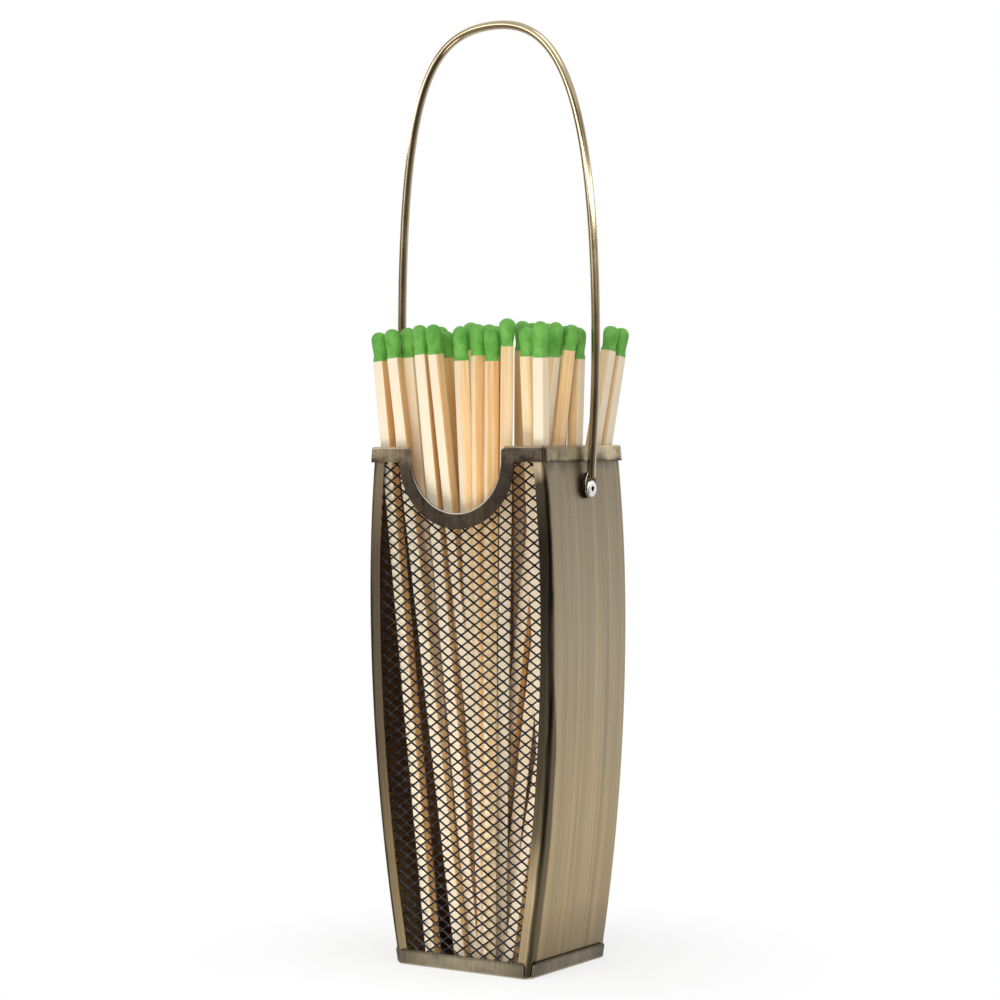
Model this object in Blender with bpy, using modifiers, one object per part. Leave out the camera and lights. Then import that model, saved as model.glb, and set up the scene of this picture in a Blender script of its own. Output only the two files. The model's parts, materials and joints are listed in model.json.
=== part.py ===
"""Match holder for long matches.

A tall box of thin brass sheet swells above a narrow foot. Two channel-shaped
side panels carry a solid back and a diamond mesh front. They stand in a folded
tray and are closed at the top by a folded rim with a round finger notch. A wire
bail with flattened eyes swings on two blind rivets, and long matches stand in
the box. Metres, +Z up, front towards -Y, origin at the centre of the underside.
"""
import math

import bmesh
import bpy
from mathutils import Vector
from mathutils.geometry import interpolate_bezier

# Body
BODY_HEIGHT = 0.203
BODY_DEPTH = 0.0533
BELLY_HALF_WIDTH = 0.0435
BASE_DRAW_IN = 0.0127
TOP_DRAW_IN = 0.0034
BELLY_SHARE = 0.695
SHEET = 0.0007
SEAT_GAP = 0.0003
BEND_RADIUS = 0.0018
FLANGE_WIDTH = 0.0056
STATIONS = 18

# Base tray
TAB_HEIGHT = 0.0060
TRAY_FOLD_RADIUS = 0.0010
TRAY_RELIEF = 0.0024
TAB_CORNER = 0.0015

# Top rim with the finger notch
RIM_DROP = 0.0061
RIM_LEDGE = 0.0019
RIM_FOLD_RADIUS = 0.0009
RIM_RELIEF = 0.0012
NOTCH_RADIUS = 0.0211
NOTCH_DEPTH = 0.0258
BAND_WIDTH = 0.0061
EAR_RADIUS = 0.0015

# Diamond mesh front
MESH_THICKNESS = 0.0006
DIAMOND_WIDTH = 0.0126
DIAMOND_HEIGHT = 0.0085
STRAND_WIDTH = 0.0012
MESH_BORDER = 0.0030

# Wire bail
WIRE_RADIUS = 0.001725
BAIL_RISE = 0.1837
BAIL_SIDE_GAP = 0.0027
BAIL_LEAN = math.radians(0.8)
BAIL_LEG_SHARE = 0.30
BAIL_SHOULDER_SHARE = 0.871
BAIL_CROWN_RIGHT = 0.584
BAIL_CROWN_LEFT = 0.712
BAIL_APEX_SHIFT = -0.0010
EYE_RADIUS = 0.0037
EYE_THICKNESS = 0.0018
EYE_NECK = 0.0062

# Blind rivets
RIVET_DROP = 0.0167
SHANK_RADIUS = 0.0016
SHANK_CLEARANCE = 0.00025
HEAD_RADIUS = 0.00325
HEAD_THICKNESS = 0.0007
HEAD_GAP = 0.00015
MANDREL_RADIUS = 0.0010
BULB_RADIUS = 0.0024
BULB_LENGTH = 0.0024

# Matches
STICK_SIDE = 0.0045
MATCH_LENGTH = 0.2495
HEAD_LENGTH = 0.0105
HEAD_WIDTH = 0.0065
MATCH_GAP = 0.0004
WALL_CLEARANCE = 0.0004

# Where each match stands before the bundle settles: its foot sideways and front
# to back, its place at the rim the same way, its twist in degrees and how much
# longer than usual it is.
MATCH_PLAN = (
    (-0.018, -0.020, -0.037, -0.022, 0, -0.0015),
    (-0.007, -0.016, -0.029, -0.022, 10, 0),
    (-0.016, -0.002, -0.028, -0.014, 10, 0),
    (-0.005, -0.009, -0.017, -0.021, 10, 0.0005),
    (-0.001, -0.001, -0.010, -0.021, -5, 0.001),
    (-0.014, 0.004, -0.015, -0.009, -25, -0.002),
    (0.002, -0.012, 0, -0.021, -30, -0.001),
    (-0.011, -0.003, -0.007, -0.007, 5, 0.001),
    (0.005, -0.018, 0.006, -0.020, -35, -0.0005),
    (-0.007, 0.004, 0.003, -0.010, -10, 0),
    (0.009, -0.021, 0.012, -0.021, 50, -0.002),
    (0.001, 0.006, 0.004, -0.004, -25, -0.0005),
    (0.009, -0.013, 0.018, -0.020, 40, 0.0015),
    (0.010, -0.001, 0.015, -0.004, 0, 0.001),
    (0.027, -0.003, 0.028, -0.017, 0, -0.002),
    (0.012, 0.010, 0.015, 0.004, 5, 0.0005),
    (0.027, -0.008, 0.036, -0.022, 0, 0),
    (0.017, 0.005, 0.022, 0.003, 10, 0),
    (-0.001, -0.007, 0.030, -0.011, 5, 0.002),
    (0.006, -0.008, 0.033, -0.005, 30, 0.0005),
    (0.028, 0.001, 0.037, 0.002, 0, -0.002),
    (0.014, -0.015, 0.037, 0.017, 0, 0.0025),
    (0.017, -0.010, 0.037, 0.022, 0, 0.002),
    (-0.020, 0.003, -0.022, -0.004, -5, 0),
    (-0.011, 0.008, -0.012, -0.003, -25, -0.0005),
    (-0.004, 0.009, -0.004, 0.003, 55, 0.0005),
    (0.003, 0.018, 0.018, 0.018, 55, 0),
    (0.005, 0.012, 0.010, 0.009, -10, -0.0005),
)
SETTLE_ROUNDS = 60

# Sizes that follow from the ones above
BELLY_HEIGHT = BELLY_SHARE * BODY_HEIGHT
OUTSIDE = SEAT_GAP + SHEET
PANEL_BOTTOM = SHEET + SEAT_GAP
PANEL_TOP = BODY_HEIGHT - SHEET - SEAT_GAP
RIVET_HEIGHT = BODY_HEIGHT - RIVET_DROP
NOTCH_CENTRE = BODY_HEIGHT - NOTCH_DEPTH + NOTCH_RADIUS
NOTCH_STOP = NOTCH_RADIUS + EAR_RADIUS
HOLE_RADIUS = SHANK_RADIUS + SHANK_CLEARANCE
BAIL_HALF_WIDTH = BELLY_HALF_WIDTH + BAIL_SIDE_GAP


def half_width(height):
    """Outer half width of the body at a height above the underside."""
    if height < BELLY_HEIGHT:
        share = (BELLY_HEIGHT - height) / BELLY_HEIGHT
        return BELLY_HALF_WIDTH - BASE_DRAW_IN * share ** 2
    share = (height - BELLY_HEIGHT) / (BODY_HEIGHT - BELLY_HEIGHT)
    return BELLY_HALF_WIDTH - TOP_DRAW_IN * share ** 2


EYE_SEAT = half_width(RIVET_HEIGHT - EYE_RADIUS) + SEAT_GAP


def new_collection(name):
    collection = bpy.data.collections.new(name)
    bpy.context.scene.collection.children.link(collection)
    return collection


def new_material(name, colour, roughness, metallic):
    material = bpy.data.materials.new(name)
    material.use_nodes = True
    shader = material.node_tree.nodes["Principled BSDF"]
    shader.inputs["Base Color"].default_value = (*colour, 1.0)
    shader.inputs["Roughness"].default_value = roughness
    shader.inputs["Metallic"].default_value = metallic
    return material


def add_object(name, data, collection, material=None, smooth=None):
    if material is not None and material.name not in data.materials:
        data.materials.append(material)
    if smooth is not None:
        data.shade_smooth()
        data.set_sharp_from_angle(angle=math.radians(smooth))
    obj = bpy.data.objects.new(name, data)
    collection.objects.link(obj)
    return obj


def add_cutter(name, data):
    obj = add_object(name, data, CUTTERS)
    obj.hide_render = True
    obj.display_type = "WIRE"
    return obj


def surface_mesh(name, faces, outward):
    """Open surface from outlines that share corners, its normals turned outward."""
    mesh = bpy.data.meshes.new(name)
    bm = bmesh.new()
    for outline in faces:
        bm.faces.new([bm.verts.new(point) for point in outline])
    bmesh.ops.remove_doubles(bm, verts=bm.verts, dist=1e-6)
    bmesh.ops.recalc_face_normals(bm, faces=bm.faces)
    bm.normal_update()
    widest = max(bm.faces, key=lambda face: face.calc_area())
    if widest.normal.dot(Vector(outward)) < 0:
        bmesh.ops.reverse_faces(bm, faces=bm.faces)
    bm.to_mesh(mesh)
    bm.free()
    return mesh


def add_mirror(obj):
    mirror = obj.modifiers.new("Mirror", "MIRROR")
    mirror.use_axis = (True, False, False)
    mirror.merge_threshold = 1e-5


def add_thickness(obj, thickness):
    """Thickness grows from the outer face inward."""
    solidify = obj.modifiers.new("Sheet", "SOLIDIFY")
    solidify.thickness = thickness
    solidify.offset = -1.0
    solidify.use_even_offset = True


def add_boolean(obj, other, operation):
    boolean = obj.modifiers.new(operation.title(), "BOOLEAN")
    boolean.operation = operation
    boolean.object = other
    boolean.solver = "EXACT"


def arc(centre, radius, start, end, steps):
    """Points on an arc, angles in degrees, both ends included."""
    points = []
    for step in range(steps + 1):
        angle = math.radians(start + (end - start) * step / steps)
        points.append((centre[0] + radius * math.cos(angle),
                       centre[1] + radius * math.sin(angle)))
    return points


def fold_points(corner, foot, radius, steps=3):
    """Points round a fold, from the flat face (running outward) into its flange."""
    corner = Vector(corner)
    fall = (Vector(foot) - corner).normalized()
    turn = Vector((1.0, 0.0)).angle(fall)
    side = 1.0 if fall.y > 0 else -1.0
    start = corner - Vector((radius * math.tan(turn / 2), 0.0))
    centre = start + Vector((0.0, side * radius))
    points = []
    for step in range(steps + 1):
        angle = turn * step / steps
        points.append(centre + radius * Vector((math.sin(angle), -side * math.cos(angle))))
    return points


def around(side, out, along, height):
    """Point on side 0 right, 1 back, 2 left or 3 front, all run anticlockwise."""
    x, y = out, along
    for _ in range(side):
        x, y = -y, x
    return Vector((x, y, height))


def strip(side, profile, start, end):
    """Quads between neighbouring profile points, from one end of a side to the other."""
    faces = []
    for upper, lower in zip(profile, profile[1:]):
        faces.append([
            around(side, upper[0], start, upper[1]),
            around(side, upper[0], end, upper[1]),
            around(side, lower[0], end, lower[1]),
            around(side, lower[0], start, lower[1]),
        ])
    return faces


def side_panel(name, hand):
    """Channel section whose web follows the swelling outline of the body."""
    half_depth = BODY_DEPTH / 2
    bend = BEND_RADIUS
    section = [(-FLANGE_WIDTH, -half_depth)]
    section += arc((-bend, bend - half_depth), bend, -90, 0, 4)
    section += arc((-bend, half_depth - bend), bend, 0, 90, 4)
    section += [(-FLANGE_WIDTH, half_depth)]
    rise = (PANEL_TOP - PANEL_BOTTOM) / STATIONS
    rows = []
    for station in range(STATIONS + 1):
        height = PANEL_BOTTOM + rise * station
        width = half_width(height)
        rows.append([Vector((hand * (width + x), y, height)) for x, y in section])
    faces = []
    for low, high in zip(rows, rows[1:]):
        for k in range(len(section) - 1):
            faces.append([low[k], low[k + 1], high[k + 1], high[k]])
    obj = add_object(name, surface_mesh(name, faces, (hand, 0, 0)), PARTS, BRASS, 35)
    add_thickness(obj, SHEET)
    add_boolean(obj, RIVET_HOLES, "DIFFERENCE")
    return obj


def tray():
    """Floor with four tabs turned up outside the panels; right half, mirrored."""
    outer_x = half_width(0.0) + OUTSIDE
    outer_y = BODY_DEPTH / 2 + OUTSIDE
    side_foot = (half_width(TAB_HEIGHT) + OUTSIDE, TAB_HEIGHT)
    end_foot = (outer_y, TAB_HEIGHT)
    side_fold = fold_points((outer_x, 0.0), side_foot, TRAY_FOLD_RADIUS)
    end_fold = fold_points((outer_y, 0.0), end_foot, TRAY_FOLD_RADIUS)
    reach_x = outer_x - TRAY_RELIEF
    reach_y = outer_y - TRAY_RELIEF
    flat_x = side_fold[0][0]
    flat_y = end_fold[0][0]
    faces = [[Vector((x, y, 0.0)) for x, y in (
        (0.0, -flat_y), (reach_x, -flat_y), (flat_x, -reach_y),
        (flat_x, reach_y), (reach_x, flat_y), (0.0, flat_y))]]
    faces += strip(0, side_fold, -reach_y, reach_y)
    faces += strip(1, end_fold, -reach_x, 0.0)
    faces += strip(3, end_fold, 0.0, reach_x)
    faces.append(tab(0, side_fold[-1], Vector(side_foot), -reach_y, reach_y, True, True))
    faces.append(tab(1, end_fold[-1], Vector(end_foot), -reach_x, 0.0, True, False))
    faces.append(tab(3, end_fold[-1], Vector(end_foot), 0.0, reach_x, False, True))
    obj = add_object("base_tray", surface_mesh("base_tray", faces, (0, 0, -1)), PARTS, BRASS, 35)
    add_mirror(obj)
    add_thickness(obj, SHEET)
    return obj


def tab(side, root, foot, start, end, round_start, round_end):
    """Outline of one tab, with its free top corners rounded where asked."""
    length = (foot - root).length
    corner = TAB_CORNER
    outline = [(start, 0.0), (end, 0.0)]
    if round_end:
        outline += arc((end - corner, length - corner), corner, 0, 90, 3)
    else:
        outline.append((end, length))
    if round_start:
        outline += arc((start + corner, length - corner), corner, 90, 180, 3)
    else:
        outline.append((start, length))
    points = []
    for along, rise in outline:
        spot = root.lerp(foot, rise / length)
        points.append(around(side, spot.x, along, spot.y))
    return points


def top_rim():
    """Folded rim whose front flange carries the notch band; right half, mirrored."""
    outer_x = half_width(BODY_HEIGHT) + OUTSIDE
    outer_y = BODY_DEPTH / 2 + OUTSIDE
    skirt = BODY_HEIGHT - RIM_DROP
    side_foot = (half_width(skirt) + OUTSIDE, skirt)
    end_foot = (outer_y, skirt)
    side_fold = fold_points((outer_x, BODY_HEIGHT), side_foot, RIM_FOLD_RADIUS)
    end_fold = fold_points((outer_y, BODY_HEIGHT), end_foot, RIM_FOLD_RADIUS)
    reach_x = outer_x - RIM_RELIEF
    reach_y = outer_y - RIM_RELIEF
    flat_x = side_fold[0][0]
    flat_y = end_fold[0][0]
    inner_x = outer_x - RIM_LEDGE
    inner_y = outer_y - RIM_LEDGE
    faces = [[Vector((x, y, BODY_HEIGHT)) for x, y in (
        (NOTCH_STOP, -flat_y), (reach_x, -flat_y), (flat_x, -reach_y),
        (flat_x, reach_y), (reach_x, flat_y), (0.0, flat_y), (0.0, inner_y),
        (inner_x, inner_y), (inner_x, -inner_y), (NOTCH_STOP, -inner_y))]]
    faces += strip(0, side_fold + [Vector(side_foot)], -reach_y, reach_y)
    faces += strip(1, end_fold + [Vector(end_foot)], -reach_x, 0.0)
    faces += strip(3, end_fold, NOTCH_STOP, reach_x)
    top = end_fold[-1][1]
    band_radius = NOTCH_RADIUS + BAND_WIDTH
    dip = math.degrees(math.asin((NOTCH_CENTRE - skirt) / band_radius))
    centre = (0.0, NOTCH_CENTRE)
    front = [(reach_x, top), (reach_x, skirt)]
    front += arc(centre, band_radius, -dip, -90, 14)
    front += arc(centre, NOTCH_RADIUS, -90, 0, 13)
    front += arc((NOTCH_STOP, top - EAR_RADIUS), EAR_RADIUS, 180, 90, 3)
    faces.append([Vector((x, -outer_y, z)) for x, z in front])
    obj = add_object("top_rim", surface_mesh("top_rim", faces, (0, -1, 0)), PARTS, BRONZE, 35)
    add_mirror(obj)
    add_thickness(obj, SHEET)
    return obj


def panel_outline(inset, bottom, top):
    """Right edge of a flat panel that follows the body, from the foot up."""
    points = []
    for station in range(STATIONS + 1):
        height = bottom + (top - bottom) * station / STATIONS
        points.append((half_width(height) - inset, height))
    return points


def back_panel():
    right = panel_outline(BEND_RADIUS, PANEL_BOTTOM, PANEL_TOP)
    outline = right + [(-x, z) for x, z in reversed(right)]
    face_y = BODY_DEPTH / 2 - OUTSIDE
    faces = [[Vector((x, face_y, z)) for x, z in outline]]
    obj = add_object("back_panel", surface_mesh("back_panel", faces, (0, 1, 0)), PARTS, BRASS)
    add_thickness(obj, SHEET)
    return obj


def clip(outline, point, normal):
    """Part of a convex outline on the side of a line that the normal points to."""
    kept = []
    for start, end in zip(outline, outline[1:] + outline[:1]):
        a = (start - point).dot(normal)
        b = (end - point).dot(normal)
        if a >= 0:
            kept.append(start)
        if a * b < 0:
            kept.append(start.lerp(end, a / (a - b)))
    return kept


def outline_area(outline):
    total = 0.0
    for start, end in zip(outline, outline[1:] + outline[:1]):
        total += start.x * end.y - end.x * start.y
    return abs(total) / 2


def diamond_openings(cut_radius):
    """Openings between the strands, trimmed to leave a plain border all round."""
    half = Vector((DIAMOND_WIDTH / 2, DIAMOND_HEIGHT / 2))
    spacing = half.x * half.y / half.length
    scale = (spacing - STRAND_WIDTH / 2) / spacing
    low = PANEL_BOTTOM + MESH_BORDER
    high = PANEL_TOP - MESH_BORDER
    rows = int((high - low) / half.y) + 2
    columns = int(BELLY_HALF_WIDTH / DIAMOND_WIDTH) + 1
    notch = Vector((0.0, NOTCH_CENTRE))
    notch_edge = cut_radius + MESH_BORDER * 0.7
    openings = []
    for row in range(rows):
        shift = 0.5 * (row % 2)
        for column in range(-columns - 1, columns + 1):
            centre = Vector(((column + shift) * DIAMOND_WIDTH, low + row * half.y))
            shape = [centre + Vector((half.x * scale, 0)), centre + Vector((0, half.y * scale)),
                     centre - Vector((half.x * scale, 0)), centre - Vector((0, half.y * scale))]
            full = outline_area(shape)
            edge = half_width(centre.y) - BEND_RADIUS - MESH_BORDER
            slope = (half_width(centre.y + half.y) - half_width(centre.y - half.y)) / DIAMOND_HEIGHT
            shape = clip(shape, Vector((edge, centre.y)), Vector((-1, slope)))
            shape = clip(shape, Vector((-edge, centre.y)), Vector((1, slope)))
            shape = clip(shape, Vector((0, low)), Vector((0, 1)))
            shape = clip(shape, Vector((0, high)), Vector((0, -1)))
            away = (centre - notch).normalized()
            if centre.y < NOTCH_CENTRE + half.y:
                shape = clip(shape, notch + away * notch_edge, away)
            if len(shape) > 2 and outline_area(shape) > 0.2 * full:
                openings.append(shape)
    return openings


def front_mesh():
    """Flat plate with a cut-out behind the notch band, pierced by diamonds."""
    cut_radius = NOTCH_RADIUS + BAND_WIDTH / 2
    lift = math.degrees(math.asin((PANEL_TOP - NOTCH_CENTRE) / cut_radius))
    right = panel_outline(BEND_RADIUS, PANEL_BOTTOM, PANEL_TOP)
    outline = right + arc((0.0, NOTCH_CENTRE), cut_radius, lift, -180 - lift, 28)
    outline += [(-x, z) for x, z in reversed(right)]
    face_y = -(BODY_DEPTH / 2 - OUTSIDE)
    faces = [[Vector((x, face_y, z)) for x, z in outline]]
    obj = add_object("front_mesh", surface_mesh("front_mesh", faces, (0, -1, 0)), PARTS, BRONZE)
    add_thickness(obj, MESH_THICKNESS)

    mesh = bpy.data.meshes.new("mesh_openings")
    bm = bmesh.new()
    ahead = face_y - 2 * MESH_THICKNESS
    behind = face_y + 3 * MESH_THICKNESS
    for shape in diamond_openings(cut_radius):
        face = bm.faces.new([bm.verts.new((p.x, ahead, p.y)) for p in shape])
        grown = bmesh.ops.extrude_face_region(bm, geom=[face])["geom"]
        verts = [item for item in grown if isinstance(item, bmesh.types.BMVert)]
        bmesh.ops.translate(bm, vec=(0.0, behind - ahead, 0.0), verts=verts)
    bmesh.ops.recalc_face_normals(bm, faces=bm.faces)
    bm.to_mesh(mesh)
    bm.free()
    add_boolean(obj, add_cutter("mesh_openings", mesh), "DIFFERENCE")
    return obj


def rivet_hole_cutter():
    """One long pin through both side panels on the swing axis."""
    return pin_cutter("rivet_holes", HOLE_RADIUS, BAIL_HALF_WIDTH + 4 * WIRE_RADIUS, RIVET_HEIGHT)


def pin_cutter(name, radius, half_length, height):
    mesh = bpy.data.meshes.new(name)
    bm = bmesh.new()
    bmesh.ops.create_cone(bm, cap_ends=True, segments=16, radius1=radius, radius2=radius,
                          depth=2 * half_length)
    bm.to_mesh(mesh)
    bm.free()
    obj = add_cutter(name, mesh)
    obj.rotation_euler = (0.0, math.radians(90), 0.0)
    obj.location = (0.0, 0.0, height)
    return obj


def half_bail(crown, apex_shift):
    """One leg and half of the arch, from the eye up to the apex, on the +X side."""
    wide = BAIL_HALF_WIDTH
    apex = BAIL_RISE - WIRE_RADIUS
    leg_top = BAIL_LEG_SHARE * BAIL_RISE
    seat = EYE_SEAT + WIRE_RADIUS + 0.00005
    leg = interpolate_bezier(
        (seat, 0, EYE_RADIUS + 0.0005), (seat, 0, 0.15 * leg_top),
        (wide, 0, 0.55 * leg_top), (wide, 0, leg_top), 7)
    arch = interpolate_bezier(
        (wide, 0, leg_top), (wide, 0, BAIL_SHOULDER_SHARE * BAIL_RISE),
        (apex_shift + crown * (wide - apex_shift), 0, apex), (apex_shift, 0, apex), 17)
    return leg + arch[1:]


def bail():
    """Round wire with an eye at each end; its origin is on the swing axis."""
    right = half_bail(BAIL_CROWN_RIGHT, BAIL_APEX_SHIFT)
    left = half_bail(BAIL_CROWN_LEFT, -BAIL_APEX_SHIFT)
    points = right + [Vector((-p.x, 0, p.z)) for p in reversed(left[:-1])]
    curve = bpy.data.curves.new("bail_wire", "CURVE")
    curve.dimensions = "3D"
    spline = curve.splines.new("POLY")
    spline.points.add(len(points) - 1)
    for spot, point in zip(spline.points, points):
        spot.co = (*point, 1.0)
    curve.bevel_depth = WIRE_RADIUS
    curve.bevel_resolution = 2
    curve.use_fill_caps = True
    wire = add_object("bail_wire", curve, PARTS)
    bpy.context.view_layer.update()
    evaluated = wire.evaluated_get(bpy.context.evaluated_depsgraph_get())
    mesh = bpy.data.meshes.new_from_object(evaluated)
    mesh.name = "handle"
    bpy.data.objects.remove(wire, do_unlink=True)
    bm = bmesh.new()
    bm.from_mesh(mesh)
    bmesh.ops.remove_doubles(bm, verts=bm.verts, dist=1e-6)
    bm.to_mesh(mesh)
    bm.free()
    obj = add_object("handle", mesh, PARTS, WIRE_BRASS, 40)
    obj.location = (0.0, 0.0, RIVET_HEIGHT)
    obj.rotation_euler = (-BAIL_LEAN, 0.0, 0.0)
    for label, hand in (("right", 1), ("left", -1)):
        eye = eye_plate("eye_" + label, hand)
        eye.location = obj.location
        eye.rotation_euler = obj.rotation_euler
        add_boolean(obj, eye, "UNION")
    pin = pin_cutter("eye_holes", HOLE_RADIUS, BAIL_HALF_WIDTH + 4 * WIRE_RADIUS, RIVET_HEIGHT)
    add_boolean(obj, pin, "DIFFERENCE")
    return obj


def eye_plate(name, hand):
    """Flattened end of the wire, round below and tapering up into the wire."""
    outline = arc((0.0, 0.0), EYE_RADIUS, 180, 360, 14)
    outline += [(EYE_RADIUS, 0.55 * EYE_NECK), (1.1 * WIRE_RADIUS, EYE_NECK)]
    outline += [(-1.1 * WIRE_RADIUS, EYE_NECK), (-EYE_RADIUS, 0.55 * EYE_NECK)]
    outer = hand * (EYE_SEAT + EYE_THICKNESS)
    faces = [[Vector((outer, y, z)) for y, z in outline]]
    obj = add_cutter(name, surface_mesh(name, faces, (hand, 0, 0)))
    add_thickness(obj, EYE_THICKNESS)
    return obj


def rivet(name, hand):
    """Domed head with the mandrel's hole, shank, and the bulb behind the panel."""
    head_seat = EYE_SEAT + EYE_THICKNESS + HEAD_GAP
    inner = half_width(RIVET_HEIGHT + BULB_RADIUS) - SHEET - SEAT_GAP
    neck = inner - head_seat
    top = HEAD_THICKNESS
    profile = [
        (0.0, top - 0.0020), (MANDREL_RADIUS, top - 0.0018), (MANDREL_RADIUS, top),
        (0.7 * HEAD_RADIUS, 0.92 * top), (0.93 * HEAD_RADIUS, 0.55 * top),
        (HEAD_RADIUS, 0.0), (SHANK_RADIUS, 0.0), (SHANK_RADIUS, neck),
        (BULB_RADIUS, neck - 0.0004), (BULB_RADIUS, neck - 0.6 * BULB_LENGTH),
        (0.55 * BULB_RADIUS, neck - BULB_LENGTH), (0.0, neck - BULB_LENGTH),
    ]
    mesh = bpy.data.meshes.new(name)
    mesh.from_pydata([(x, 0, z) for x, z in profile],
                     [(k, k + 1) for k in range(len(profile) - 1)], [])
    obj = add_object(name, mesh, PARTS, RIVET_METAL)
    screw = obj.modifiers.new("Turned", "SCREW")
    screw.axis = "Z"
    screw.steps = 16
    screw.render_steps = 16
    screw.use_merge_vertices = True
    screw.merge_threshold = 1e-5
    screw.use_smooth_shade = False
    obj.location = (hand * head_seat, 0.0, RIVET_HEIGHT)
    obj.rotation_euler = (0.0, hand * math.radians(90), 0.0)
    return obj


def match_mesh(length):
    """Square stick that runs into a drop-shaped head, as a loft of eight-sided rings."""
    side = STICK_SIDE / 2
    edge = 0.84 * side
    square = [(side, edge), (edge, side), (-edge, side), (-side, edge),
              (-side, -edge), (-edge, -side), (edge, -side), (side, -edge)]
    base = length - HEAD_LENGTH
    rings = [[(x, y, 0.0) for x, y in square], [(x, y, base) for x, y in square]]
    for share, width in ((0.10, 0.82), (0.40, 0.97), (0.66, 1.00), (0.86, 0.78), (1.00, 0.36)):
        radius = width * HEAD_WIDTH / 2 / math.cos(math.radians(22.5))
        ring = []
        for k in range(8):
            angle = math.radians(22.5 + 45 * k)
            ring.append((radius * math.cos(angle), radius * math.sin(angle),
                         base + share * HEAD_LENGTH))
        rings.append(ring)
    mesh = bpy.data.meshes.new("match")
    bm = bmesh.new()
    loops = [[bm.verts.new(point) for point in ring] for ring in rings]
    for low, high in zip(loops, loops[1:]):
        for k in range(8):
            bm.faces.new((low[k], low[(k + 1) % 8], high[(k + 1) % 8], high[k]))
    bm.faces.new(list(reversed(loops[0])))
    bm.faces.new(loops[-1])
    bmesh.ops.recalc_face_normals(bm, faces=bm.faces)
    bm.to_mesh(mesh)
    bm.free()
    return mesh


def spread(angle):
    """Half the breadth of a stick's square section across a turned direction."""
    return STICK_SIDE / 2 * (abs(math.cos(angle)) + abs(math.sin(angle)))


def free_room(twist):
    """How far a stick's centre may go sideways at foot and rim, and in depth."""
    reach = spread(twist) + 0.02 * STICK_SIDE
    foot = half_width(PANEL_BOTTOM) - SHEET - WALL_CLEARANCE
    rim = half_width(BODY_HEIGHT) + OUTSIDE - RIM_LEDGE - WALL_CLEARANCE
    deep = BODY_DEPTH / 2 - OUTSIDE - SHEET - WALL_CLEARANCE
    return Vector((foot, deep)), Vector((rim, deep)), reach


def hold_in(place):
    """Keep a stick within the walls, off the rivets' ends and under the bail."""
    foot_room, rim_room, reach = free_room(place["twist"])
    for end, room in (("foot", foot_room), ("rim", rim_room)):
        for axis in (0, 1):
            limit = room[axis] - reach
            place[end][axis] = max(-limit, min(limit, place[end][axis]))
    level = RIVET_HEIGHT / BODY_HEIGHT
    spot = place["foot"].lerp(place["rim"], level)
    if abs(spot.y) < BULB_RADIUS + reach + MATCH_GAP:
        rivet_end = half_width(RIVET_HEIGHT + BULB_RADIUS) - SHEET - SEAT_GAP - BULB_LENGTH
        over = abs(spot.x) - (rivet_end - reach - MATCH_GAP)
        if over > 0:
            place["rim"].x -= math.copysign(over / level, spot.x)
    level = (MATCH_LENGTH - HEAD_LENGTH / 2) / BODY_HEIGHT
    head = place["foot"].lerp(place["rim"], level)
    over = abs(head.x) - (BAIL_HALF_WIDTH - WIRE_RADIUS - HEAD_WIDTH / 2 - WALL_CLEARANCE)
    if over > 0:
        place["rim"].x -= math.copysign(over / level, head.x)


def push_apart(one, other, level, heads):
    """Move two sticks, or their heads, apart at one level if they are too close."""
    away = other["foot"].lerp(other["rim"], level) - one["foot"].lerp(one["rim"], level)
    if heads:
        lack = HEAD_WIDTH + MATCH_GAP - away.length
        way = away.normalized()
    else:
        if away.length > 1.5 * STICK_SIDE + MATCH_GAP:
            return False
        lack = None
        for angle in (one["twist"], other["twist"]):
            for turn in (angle, angle + math.pi / 2):
                axis = Vector((math.cos(turn), math.sin(turn)))
                apart = away.dot(axis)
                need = (MATCH_GAP + spread(turn - one["twist"]) + spread(turn - other["twist"])
                        - abs(apart))
                if lack is None or need < lack:
                    lack = need
                    way = axis if apart >= 0 else -axis
    if lack <= 1e-6:
        return False
    step = way * (0.55 * lack)
    low = max(0.0, 1.0 - level)
    high = min(1.0, level)
    scale = 1.0 / max(0.25, low * low + high * high)
    for place, sign in ((one, -1.0), (other, 1.0)):
        place["foot"] += sign * scale * low * step
        place["rim"] += sign * scale * high * step
    return True


def settled_places():
    """Foot, rim, twist and length of every match, moved until none touch."""
    places = []
    for foot_x, foot_y, rim_x, rim_y, degrees, extra in MATCH_PLAN:
        places.append({
            "foot": Vector((foot_x, foot_y)), "rim": Vector((rim_x, rim_y)),
            "twist": math.radians(degrees), "length": MATCH_LENGTH + extra})
    stick_levels = [0.01 + 0.04 * step for step in range(30)]
    head_levels = [1.17, 1.24]
    for place in places:
        hold_in(place)
    for _ in range(SETTLE_ROUNDS):
        moved = False
        for index, one in enumerate(places):
            for other in places[index + 1:]:
                for level in stick_levels:
                    moved = push_apart(one, other, level, False) or moved
                for level in head_levels:
                    moved = push_apart(one, other, level, True) or moved
        for place in places:
            hold_in(place)
        if not moved:
            break
    return places


def stand_match(number, place):
    """Stand one match on the tray's floor with its lean and twist."""
    foot = place["foot"].to_3d()
    rim = place["rim"].to_3d()
    rim.z = BODY_HEIGHT
    lean = (rim - foot).normalized()
    twist = place["twist"]
    along = lean.x * math.cos(twist) + lean.y * math.sin(twist)
    across = lean.y * math.cos(twist) - lean.x * math.sin(twist)
    foot.z = SHEET + SEAT_GAP + STICK_SIDE / 2 * (abs(along) + abs(across)) / lean.z
    obj = add_object("match_%02d" % number, match_mesh(place["length"]), PARTS, MATCH_WOOD)
    obj.location = foot
    tilt = Vector((0.0, 0.0, 1.0)).rotation_difference(lean)
    turn = tilt.to_matrix().to_4x4()
    obj.rotation_euler = (turn @ turn.Rotation(twist, 4, "Z")).to_euler()
    return obj


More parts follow.
